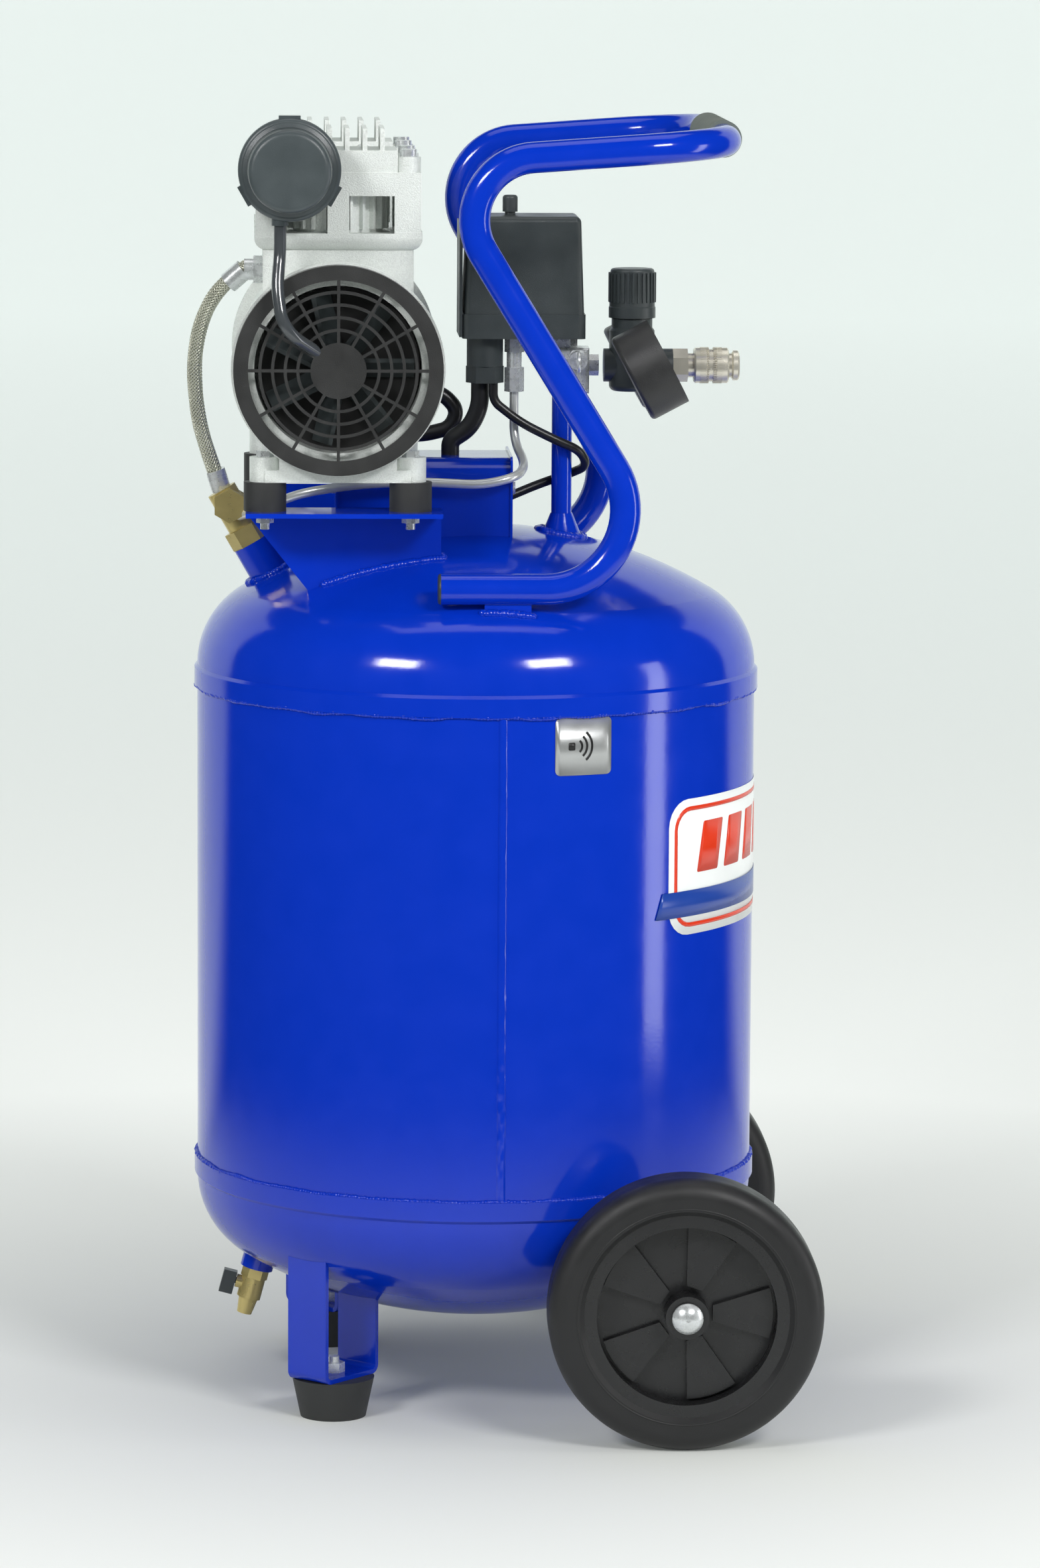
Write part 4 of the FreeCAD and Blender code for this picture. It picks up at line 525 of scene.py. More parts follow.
def joined(name, meshes):
    """One mesh from several."""
    bm = bmesh.new()
    for mesh in meshes:
        bm.from_mesh(mesh)
        bpy.data.meshes.remove(mesh)
    whole = bpy.data.meshes.new(name)
    bm.to_mesh(whole)
    bm.free()
    return whole


def on_shell(angle, height, lift=0.0):
    """A point on the tank's side, angle round from the front."""
    radius = TANK_RADIUS + lift
    return Vector((AXIS_X + radius * math.cos(angle), radius * math.sin(angle), height))


# ---------------------------------------------------------------- operators


def settings(context):
    scene = context.scene
    return scene.compressor_colours, scene.compressor_welds, scene.compressor_stage


class COMPRESSOR_OT_finishes(bpy.types.Operator):
    """Makes the materials and puts one on every CAD node"""

    bl_idname = "compressor.finishes"
    bl_label = "Finish CAD Parts"

    def execute(self, context):
        make_finishes(settings(context)[0])
        left = set(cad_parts)
        for name, nodes in NODE_FINISHES.items():
            for node in nodes.split():
                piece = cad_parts[node]
                for place in piece.material_slots:
                    place.material = FINISHES[name]
                left.discard(node)
        if left:
            raise RuntimeError(f"no finish for {sorted(left)}")
        return {"FINISHED"}


def bead_tree():
    """Overlapping weld ripples along a curve."""
    tree, start, end = geometry_tree(
        "Weld Bead",
        {
            "Bead Radius": ("NodeSocketFloat", 0.002),
            "Ripple Pitch": ("NodeSocketFloat", 0.002),
            "Seed": ("NodeSocketInt", 1),
            "Paint": ("NodeSocketMaterial", None),
        },
    )
    nodes = Nodes(tree)
    even = nodes.add("GeometryNodeResampleCurve", mode="LENGTH")
    marks = nodes.add("GeometryNodeCurveToPoints", mode="EVALUATED")
    ball = nodes.add("GeometryNodeMeshUVSphere", Segments=8, Rings=5)
    size = nodes.add("FunctionNodeRandomValue", data_type="FLOAT_VECTOR")
    size.inputs[0].default_value = (0.75, 0.8, 0.75)
    size.inputs[1].default_value = (1.2, 1.1, 1.2)
    stamp = nodes.add("GeometryNodeInstanceOnPoints")
    real = nodes.add("GeometryNodeRealizeInstances")
    smooth = nodes.add("GeometryNodeSetShadeSmooth")
    paint = nodes.add("GeometryNodeSetMaterial")
    nodes.join(
        (start.outputs["Geometry"], even.inputs["Curve"]),
        (start.outputs["Ripple Pitch"], even.inputs["Length"]),
        (even.outputs["Curve"], marks.inputs["Curve"]),
        (start.outputs["Bead Radius"], ball.inputs["Radius"]),
        (start.outputs["Seed"], size.inputs["Seed"]),
        (marks.outputs["Points"], stamp.inputs["Points"]),
        (ball.outputs["Mesh"], stamp.inputs["Instance"]),
        (marks.outputs["Rotation"], stamp.inputs["Rotation"]),
        (size.outputs[0], stamp.inputs["Scale"]),
        (stamp.outputs["Instances"], real.inputs["Geometry"]),
        (real.outputs["Geometry"], smooth.inputs["Geometry"]),
        (smooth.outputs["Geometry"], paint.inputs["Geometry"]),
        (start.outputs["Paint"], paint.inputs["Material"]),
        (paint.outputs["Geometry"], end.inputs["Geometry"]),
    )
    return tree


class COMPRESSOR_OT_welds(bpy.types.Operator):
    """Lays the weld beads of the tank, its brackets and its bosses"""

    bl_idname = "compressor.welds"
    bl_label = "Lay Welds"

    def execute(self, context):
        sizes = settings(context)[1]
        tree = bead_tree()
        rings = []
        for seed, height in enumerate((SEAM_HIGH - BAND_HEIGHT, SEAM_LOW + BAND_HEIGHT)):
            circle = [
                on_shell(math.radians(turn), height, 0.0002)
                + Vector((0, 0, 0.0016 * noise.noise(Vector((turn * 0.13, seed * 9, 0)))))
                for turn in range(360)
            ]
            rings.append(self.bead(tree, circle, sizes, seed, 0.8, True))
        add_piece("seam_beads", joined("seam_beads", rings), "Blue Powder Coat")
        runs = [self.bead(tree, run, sizes, 7 + i, 1.3) for i, run in enumerate(self.runs())]
        add_piece(
            "bracket_beads", joined("bracket_beads", runs), "Blue Powder Coat"
        )
        add_piece("side_seam", self.side_seam(sizes), "Blue Powder Coat")
        return {"FINISHED"}

    def bead(self, tree, points, sizes, seed, share, closed=False):
        return grown(
            path_curve("bead", points, closed),
            tree,
            f"bead_{seed}",
            Bead_Radius=sizes.bead_radius * share,
            Ripple_Pitch=sizes.ripple_pitch,
            Seed=seed,
            Paint=FINISHES["Blue Powder Coat"],
        )

    def runs(self):
        """The lines where brackets and bosses meet the tank, as lists of points."""
        head = self.surface("top_head")
        down = Vector((0, 0, -1))
        low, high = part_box("pump_brackets")
        apron = high.y - 0.0410
        runs = []
        for side in (-1, 1):
            edge = [(high.x - 0.076 + 0.002 * i, side * apron, 1.0) for i in range(38)]
            edge += [(high.x + 0.001, side * (apron - 0.0015 * i), 1.0) for i in range(4)]
            runs.append(self.dropped(head, edge, down))
            tab = [(AXIS_X - 0.001 + 0.002 * i, side * 0.1562, 1.0) for i in range(17)]
            runs.append(self.dropped(head, tab, down))
        low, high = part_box("riser_pipe")
        foot = Vector(((low.x + high.x) / 2, 0, 1.0))
        runs.append(self.dropped(head, self.circle(foot, 0.0150, down), down))
        way = Vector((0.5, 0, -math.cos(math.radians(30))))
        boss = Vector((AXIS_X - 0.138, 0, 0.546)) - way * 0.2
        runs.append(self.dropped(head, self.circle(boss, 0.0152, way), way))
        return runs

    def circle(self, centre, radius, way):
        across = way.orthogonal().normalized()
        other = way.cross(across)
        turns = [math.radians(15 * i) for i in range(25)]
        return [centre + radius * (math.cos(t) * across + math.sin(t) * other) for t in turns]

    def surface(self, node):
        bm = bmesh.new()
        bm.from_mesh(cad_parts[node].data)
        tree = BVHTree.FromBMesh(bm)
        bm.free()
        return tree

    def dropped(self, surface, places, way):
        """Points let down onto a surface along a direction."""
        landed = []
        for place in places:
            hit = surface.ray_cast(Vector(place), way)[0]
            if hit:
                landed.append(hit)
        return landed

    def side_seam(self, sizes):
        """The shell's upright seam: a low, slightly uneven ridge."""
        across, rows = 10, 130
        points = []
        low, high = SEAM_LOW + BAND_HEIGHT, SEAM_HIGH - BAND_HEIGHT
        for row in range(rows + 1):
            height = low + (high - low) * row / rows
            wander = 0.0006 * noise.noise(Vector((0, 0, height * 22)))
            for step in range(across + 1):
                share = 2 * step / across - 1
                width = sizes.seam_width / 2
                lump = noise.noise(Vector((step * 0.5, 3, height * 160)))
                rise = 0.0013 * math.cos(share * math.pi / 2) ** 0.5 + 0.0003 * lump
                lift = rise * (1 - share**8) - 0.0001
                angle = sizes.seam_angle + (share * width + wander) / TANK_RADIUS
                points.append(on_shell(angle, height, lift))
        faces = []
        for row in range(rows):
            for step in range(across):
                a = row * (across + 1) + step
                faces.append((a, a + 1, a + across + 2, a + across + 1))
        mesh = bpy.data.meshes.new("side_seam")
        mesh.from_pydata(points, [], faces)
        return mesh


def rounded_loop(left, low, right, high, corner, slant=0.0):
    """The outline of a rounded rectangle, leaning to the right by slant from foot to top."""
    loop = []
    for x, y, first in (
        (right - corner, high - corner, 0),
        (left + corner, high - corner, 90),
        (left + corner, low + corner, 180),
        (right - corner, low + corner, 270),
    ):
        for step in range(7):
            turn = math.radians(first + 15 * step)
            up = y + corner * math.sin(turn)
            lean = slant * (up - low) / (high - low)
            loop.append((x + corner * math.cos(turn) + lean, up))
    return loop


class COMPRESSOR_OT_labels(bpy.types.Operator):
    """Lays a plain badge on the front of the tank and a small plate on its side"""

    bl_idname = "compressor.labels"
    bl_label = "Lay Labels"

    strip = 0.004
    sheet = 0.00015

    def execute(self, context):
        half, low, high = 0.1595, 0.322, 0.411
        self.lay("badge_field", [rounded_loop(-half, low, half, high, 0.018)], 0.0002, "Badge White")
        outer = rounded_loop(-half + 0.005, low + 0.005, half - 0.005, high - 0.005, 0.015)
        inner = rounded_loop(-half + 0.0078, low + 0.0078, half - 0.0078, high - 0.0078, 0.0125)
        self.ring("badge_outline", outer, inner, 0.0004, "Badge Red")
        band = rounded_loop(-0.171, 0.334, 0.165, 0.351, 0.0004, 0.006)
        self.lay("badge_band", [band], 0.0006, "Badge Blue")
        bars = [
            rounded_loop(x, 0.362, x + 0.024, 0.395, 0.0015, 0.007)
            for x in (-0.132, -0.099, -0.066, -0.033, 0.0, 0.033, 0.066, 0.099)
        ]
        self.lay("badge_bars", bars, 0.0004, "Badge Red")
        centre = math.radians(-70) * TANK_RADIUS
        plate = rounded_loop(centre - 0.0194, 0.4328, centre + 0.0194, 0.4700, 0.0035)
        self.lay("side_plate", [plate], 0.0002, "Label Silver")
        marks = []
        for reach in (0.004, 0.0075, 0.011):
            marks.append(self.arc(centre - 0.006, 0.4515, reach, 0.0014))
        marks.append(rounded_loop(centre - 0.0105, 0.449, centre - 0.006, 0.454, 0.0008))
        self.lay("side_plate_marks", marks, 0.0004, "Print and Shade Black")
        return {"FINISHED"}

    def arc(self, x, y, reach, width):
        turns = [math.radians(t) for t in range(-50, 51, 5)]
        outer = [(x + (reach + width) * math.cos(t), y + (reach + width) * math.sin(t)) for t in turns]
        inner = [(x + reach * math.cos(t), y + reach * math.sin(t)) for t in reversed(turns)]
        return outer + inner

    def lay(self, name, loops, lift, material):
        bm = bmesh.new()
        for loop in loops:
            bm.faces.new([bm.verts.new((x, y, 0)) for x, y in loop])
        self.wrap(bm, name, lift, material)

    def ring(self, name, outer, inner, lift, material):
        bm = bmesh.new()
        rims = [[bm.verts.new((x, y, 0)) for x, y in loop] for loop in (outer, inner)]
        count = len(outer)
        for i in range(count):
            j = (i + 1) % count
            bm.faces.new((rims[0][i], rims[0][j], rims[1][j], rims[1][i]))
        self.wrap(bm, name, lift, material)

    def wrap(self, bm, name, lift, material):
        """Cuts the flat sheet into narrow strips and bends it round the shell."""
        left = min(v.co.x for v in bm.verts)
        right = max(v.co.x for v in bm.verts)
        cut = left + self.strip
        while cut < right:
            bmesh.ops.bisect_plane(
                bm,
                geom=bm.verts[:] + bm.edges[:] + bm.faces[:],
                plane_co=(cut, 0, 0),
                plane_no=(1, 0, 0),
            )
            cut += self.strip
        for v in bm.verts:
            v.co = on_shell(v.co.x / TANK_RADIUS, v.co.y, lift)
        bmesh.ops.recalc_face_normals(bm, faces=bm.faces)
        for face in bm.faces:
            out = face.calc_center_median() - Vector((AXIS_X, 0, 0))
            out.z = 0
            if face.normal.dot(out) < 0:
                face.normal_flip()
        mesh = bpy.data.meshes.new(name)
        bm.to_mesh(mesh)
        bm.free()
        piece = add_piece(name, mesh, material)
        wall = piece.modifiers.new("Sheet", "SOLIDIFY")
        wall.thickness = self.sheet
        wall.offset = 1


class COMPRESSOR_OT_braid(bpy.types.Operator):
    """Weaves the wire braid of the delivery hose"""

    bl_idname = "compressor.braid"
    bl_label = "Weave Delivery Hose"

    strands = 12
    spacing = 0.0012
    lay_length = 0.030
    wire = 0.0008

    def execute(self, context):
        line = centreline("hose_route", self.route(), self.spacing)
        frames = frames_along(line)
        radius = 0.0043
        bm = bmesh.new()
        self.tube(bm, frames, radius - 0.0004, 14)
        for hand in (-1, 1):
            for strand in range(self.strands):
                self.wind(bm, frames, radius, hand, strand)
        bmesh.ops.recalc_face_normals(bm, faces=bm.faces)
        mesh = bpy.data.meshes.new("hose_braid")
        bm.to_mesh(mesh)
        bm.free()
        hose = add_piece("hose_braid", mesh, "Wire Braid")
        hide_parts("braided_hose")
        return {"FINISHED"}

    def route(self):
        places = (
            (-151.5, -45, 750),
            (-167, -42, 740),
            (-181, -33, 718),
            (-187, -22, 690),
            (-186, -11, 660),
            (-181, -3, 632),
            (-169, 0, 599.7),
        )
        return [Vector((x / 1000 + AXIS_X, y / 1000, z / 1000)) for x, y, z in places]

    def tube(self, bm, frames, radius, sides):
        rings = []
        for place, side, up in frames:
            ring = []
            for i in range(sides):
                turn = 2 * math.pi * i / sides
                ring.append(
                    bm.verts.new(place + radius * (math.cos(turn) * side + math.sin(turn) * up))
                )
            rings.append(ring)
        for first, second in zip(rings, rings[1:]):
            for i in range(sides):
                j = (i + 1) % sides
                bm.faces.new((first[i], first[j], second[j], second[i]))
        bm.faces.new(rings[0][::-1])
        bm.faces.new(rings[-1])

    def wind(self, bm, frames, radius, hand, strand):
        """One flat bundle of wires that goes over and under the ones of the other hand."""
        rings = []
        for index, (place, side, up) in enumerate(frames):
            along = index * self.spacing
            turn = hand * 2 * math.pi * (along / self.lay_length + hand * strand / self.strands)
            weave = 0.0003 * hand * math.cos(2 * math.pi * self.strands * along / self.lay_length)
            out = math.cos(turn) * side + math.sin(turn) * up
            flat = -math.sin(turn) * side + math.cos(turn) * up
            middle = place + out * (radius + weave)
            rings.append(
                [
                    bm.verts.new(middle + flat * self.wire + out * 0.0001),
                    bm.verts.new(middle + out * 0.0006),
                    bm.verts.new(middle - flat * self.wire + out * 0.0001),
                    bm.verts.new(middle - out * 0.0004),
                ]
            )
        for first, second in zip(rings, rings[1:]):
            for i in range(4):
                j = (i + 1) % 4
                bm.faces.new((first[i], first[j], second[j], second[i]))
        bm.faces.new(rings[0])
        bm.faces.new(rings[-1])


def spokes_tree():
    """Small blocks set evenly round an arc, each pointing away from its centre."""
    tree, start, end = geometry_tree(
        "Round Marks",
        {
            "Count": ("NodeSocketInt", 11),
            "Radius": ("NodeSocketFloat", 0.02),
            "First Angle": ("NodeSocketFloat", 0.0),
            "Sweep": ("NodeSocketFloat", 1.5),
            "Block": ("NodeSocketVector", (0.004, 0.001, 0.001)),
            "Surface": ("NodeSocketMaterial", None),
        },
    )
    nodes = Nodes(tree)
    line = nodes.add("GeometryNodeMeshLine", mode="OFFSET")
    line.inputs["Offset"].default_value = (0, 0, 0)
    index = nodes.add("GeometryNodeInputIndex")
    last = nodes.add("ShaderNodeMath", operation="SUBTRACT")
    last.inputs[1].default_value = 1
    share = nodes.add("ShaderNodeMath", operation="DIVIDE")
    angle = nodes.add("ShaderNodeMath", operation="MULTIPLY_ADD")
    cosine = nodes.add("ShaderNodeMath", operation="COSINE")
    sine = nodes.add("ShaderNodeMath", operation="SINE")
    spot = nodes.add("ShaderNodeCombineXYZ")
    reach = nodes.add("ShaderNodeVectorMath", operation="SCALE")
    place = nodes.add("GeometryNodeSetPosition")
    turn = nodes.add("ShaderNodeCombineXYZ")
    block = nodes.add("GeometryNodeMeshCube")
    stamp = nodes.add("GeometryNodeInstanceOnPoints")
    real = nodes.add("GeometryNodeRealizeInstances")
    paint = nodes.add("GeometryNodeSetMaterial")
    nodes.join(
        (start.outputs["Count"], line.inputs["Count"]),
        (start.outputs["Count"], last.inputs[0]),
        (index.outputs["Index"], share.inputs[0]),
        (last.outputs["Value"], share.inputs[1]),
        (share.outputs["Value"], angle.inputs[0]),
        (start.outputs["Sweep"], angle.inputs[1]),
        (start.outputs["First Angle"], angle.inputs[2]),
        (angle.outputs["Value"], cosine.inputs[0]),
        (angle.outputs["Value"], sine.inputs[0]),
        (cosine.outputs["Value"], spot.inputs["X"]),
        (sine.outputs["Value"], spot.inputs["Y"]),
        (spot.outputs["Vector"], reach.inputs[0]),
        (start.outputs["Radius"], reach.inputs["Scale"]),
        (line.outputs["Mesh"], place.inputs["Geometry"]),
        (reach.outputs["Vector"], place.inputs["Position"]),
        (angle.outputs["Value"], turn.inputs["Z"]),
        (start.outputs["Block"], block.inputs["Size"]),
        (place.outputs["Geometry"], stamp.inputs["Points"]),
        (block.outputs["Mesh"], stamp.inputs["Instance"]),
        (turn.outputs["Vector"], stamp.inputs["Rotation"]),
        (stamp.outputs["Instances"], real.inputs["Geometry"]),
        (real.outputs["Geometry"], paint.inputs["Geometry"]),
        (start.outputs["Surface"], paint.inputs["Material"]),
        (paint.outputs["Geometry"], end.inputs["Geometry"]),
    )
    return tree


def round_marks(name, tree, place, material, **values):
    """A mesh of blocks round a centre, moved by the matrix place."""
    seed = bpy.data.objects.new(name, bpy.data.meshes.new(name))
    bpy.context.scene.collection.objects.link(seed)
    mesh = grown(seed, tree, name, Surface=FINISHES[material], **values)
    mesh.transform(place)
    return mesh


class COMPRESSOR_OT_dials(bpy.types.Operator):
    """Prints the scales of the two pressure gauges"""

    bl_idname = "compressor.dials"
    bl_label = "Print Gauge Dials"

    tilt = math.radians(28)
    sweep = math.radians(-270)
    first = math.radians(225)

    def execute(self, context):
        tree = spokes_tree()
        for side, end in ((-1, "near"), (1, "far")):
            place = self.dial_place(side)
            marks = []
            for count, radius, block in (
                (51, 0.0232, (0.0016, 0.00025, 0.0001)),
                (11, 0.0225, (0.0034, 0.0006, 0.0001)),
            ):
                marks.append(
                    round_marks(
                        f"ticks_{count}",
                        tree,
                        place,
                        "Print and Shade Black",
                        Count=count,
                        Radius=radius,
                        First_Angle=self.first,
                        Sweep=self.sweep,
                        Block=block,
                    )
                )
            for step in range(6):
                marks.append(self.numeral(str(2 * step), step / 5, place))
            add_piece(
                f"dial_marks_{end}",
                joined(f"dial_marks_{end}", marks),
                "Print and Shade Black",
                smooth=False,
            )
        return {"FINISHED"}

    def dial_place(self, side):
        """The matrix from a flat dial, seen from above, to the dial of one gauge."""
        axis = Vector((math.cos(self.tilt), 0, math.sin(self.tilt)))
        right = Vector((0, 1, 0))
        up = axis.cross(right)
        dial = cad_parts["gauge_dials"].data
        points = [v.co for v in dial.vertices if v.co.y * side > 0]
        middle = sum(points, Vector()) / len(points)
        middle.y = (min(p.y for p in points) + max(p.y for p in points)) / 2
        front = max((p - middle).dot(axis) for p in points)
        place = Matrix((right, up, axis)).transposed().to_4x4()
        place.translation = middle + axis * (front + 0.0001)
        return place

    def numeral(self, words, share, place):
        turn = self.first + self.sweep * share
        text = bpy.data.curves.new("numeral", "FONT")
        text.body = words
        text.size = 0.0052
        text.align_x = "CENTER"
        text.align_y = "CENTER"
        text.extrude = 0.00005
        thing = bpy.data.objects.new("numeral", text)
        bpy.context.scene.collection.objects.link(thing)
        mesh = plain_mesh(thing, "numeral")
        spot = Vector((math.cos(turn), math.sin(turn), 0)) * 0.0168
        mesh.transform(place @ Matrix.Translation(spot))
        return mesh


class COMPRESSOR_OT_knurls(bpy.types.Operator):
    """Cuts the grip of the coupler's sleeve and the ribs of the regulator's knob"""

    bl_idname = "compressor.knurls"
    bl_label = "Cut Knurls"

    def execute(self, context):
        tree = spokes_tree()
        low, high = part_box("coupler_sleeve")
        along = Matrix.Rotation(math.radians(90), 4, "Y")
        radius = (high.z - low.z) / 2
        bands = []
        for share in (0.3, 0.68):
            place = Matrix.Translation(
                (low.x + (high.x - low.x) * share, 0, (low.z + high.z) / 2)
            )
            bands.append(
                round_marks(
                    f"knurl_{share}",
                    tree,
                    place @ along,
                    "Nickel Plate",
                    Count=61,
                    Radius=radius - 0.0004,
                    First_Angle=0.0,
                    Sweep=math.tau,
                    Block=(0.0012, 0.0006, 0.0058),
                )
            )
        add_piece(
            "sleeve_knurl",
            joined("sleeve_knurl", bands),
            "Nickel Plate",
            body="coupler_sleeve",
            smooth=False,
        )
        low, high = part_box("regulator_knob")
        centre = (low + high) / 2
        ribs = round_marks(
            "knob_ribs",
            tree,
            Matrix.Translation((centre.x, centre.y, high.z - 0.0125)),
            "Black Plastic",
            Count=29,
            Radius=(high.x - low.x) / 2 - 0.0008,
            First_Angle=0.0,
            Sweep=math.tau,
            Block=(0.0022, 0.0016, 0.0195),
        )
        add_piece(
            "knob_ribs",
            ribs,
            "Black Plastic",
            body="regulator_knob",
            smooth=False,
        )
        return {"FINISHED"}


def revolved(name, profile, centre, sides=96):
    """A closed profile of distances from and along the Y axis, spun round it at a centre."""
    points, faces = [], []
    count = len(profile)
    for turn in range(sides):
        angle = 2 * math.pi * turn / sides
        for radius, along in profile:
            points.append(
                centre + Vector((radius * math.cos(angle), along, radius * math.sin(angle)))
            )
    for turn in range(sides):
        after = (turn + 1) % sides
        for i in range(count):
            j = (i + 1) % count
            faces.append(
                (turn * count + i, turn * count + j, after * count + j, after * count + i)
            )
    bm = bmesh.new()
    verts = [bm.verts.new(p) for p in points]
    for face in faces:
        bm.faces.new([verts[i] for i in face])
    bmesh.ops.recalc_face_normals(bm, faces=bm.faces)
    mesh = bpy.data.meshes.new(name)
    bm.to_mesh(mesh)
    bm.free()
    return mesh


def bead_profile(radius, along, size):
    """A small round section for a moulded ring."""
    turns = [math.radians(45 * i) for i in range(8)]
    return [(radius + size * math.cos(t), along + size * math.sin(t)) for t in turns]


class COMPRESSOR_OT_wheel_rings(bpy.types.Operator):
    """Moulds the rings on the tyre walls and lays painted shade discs at the back of the two fans"""

    bl_idname = "compressor.wheel_rings"
    bl_label = "Mould Wheel Rings"

    def execute(self, context):
        for end, side in (("near", -1), ("far", 1)):
            low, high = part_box(f"tyre_{end}")
            centre = (low + high) / 2
            face = side * (high.y - low.y) / 2
            centre.y = 0
            middle = (low.y + high.y) / 2
            rings = []
            for radius, depth in ((0.0835, 0.0065), (0.0795, 0.0022), (0.0705, 0.0005)):
                along = middle + face - side * depth
                rings.append(
                    revolved("ring", bead_profile(radius, along, 0.0008), centre, 128)
                )
            add_piece(
                f"tyre_rings_{end}",
                joined(f"tyre_rings_{end}", rings),
                "Tyre Rubber",
                body=f"wheel_{end}",
            )
        # Painted shade: a thin black disc behind each fan stands for the shade inside the fan, not for a
        # real plate.
        low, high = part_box("cooling_fans")
        axis = (low + high) / 2
        axis.y = 0
        shade_discs = []
        for side in (-1, 1):
            back = side * (high.y - 0.0165)
            shade_discs.append(
                revolved(
                    "plate",
                    [
                        (0.014, back),
                        (0.052, back),
                        (0.052, back - side * 0.0006),
                        (0.014, back - side * 0.0006),
                    ],
                    axis,
                )
            )
        add_piece(
            "fan_shade_discs",
            joined("fan_shade_discs", shade_discs),
            "Print and Shade Black",
            smooth=False,
        )
        return {"FINISHED"}


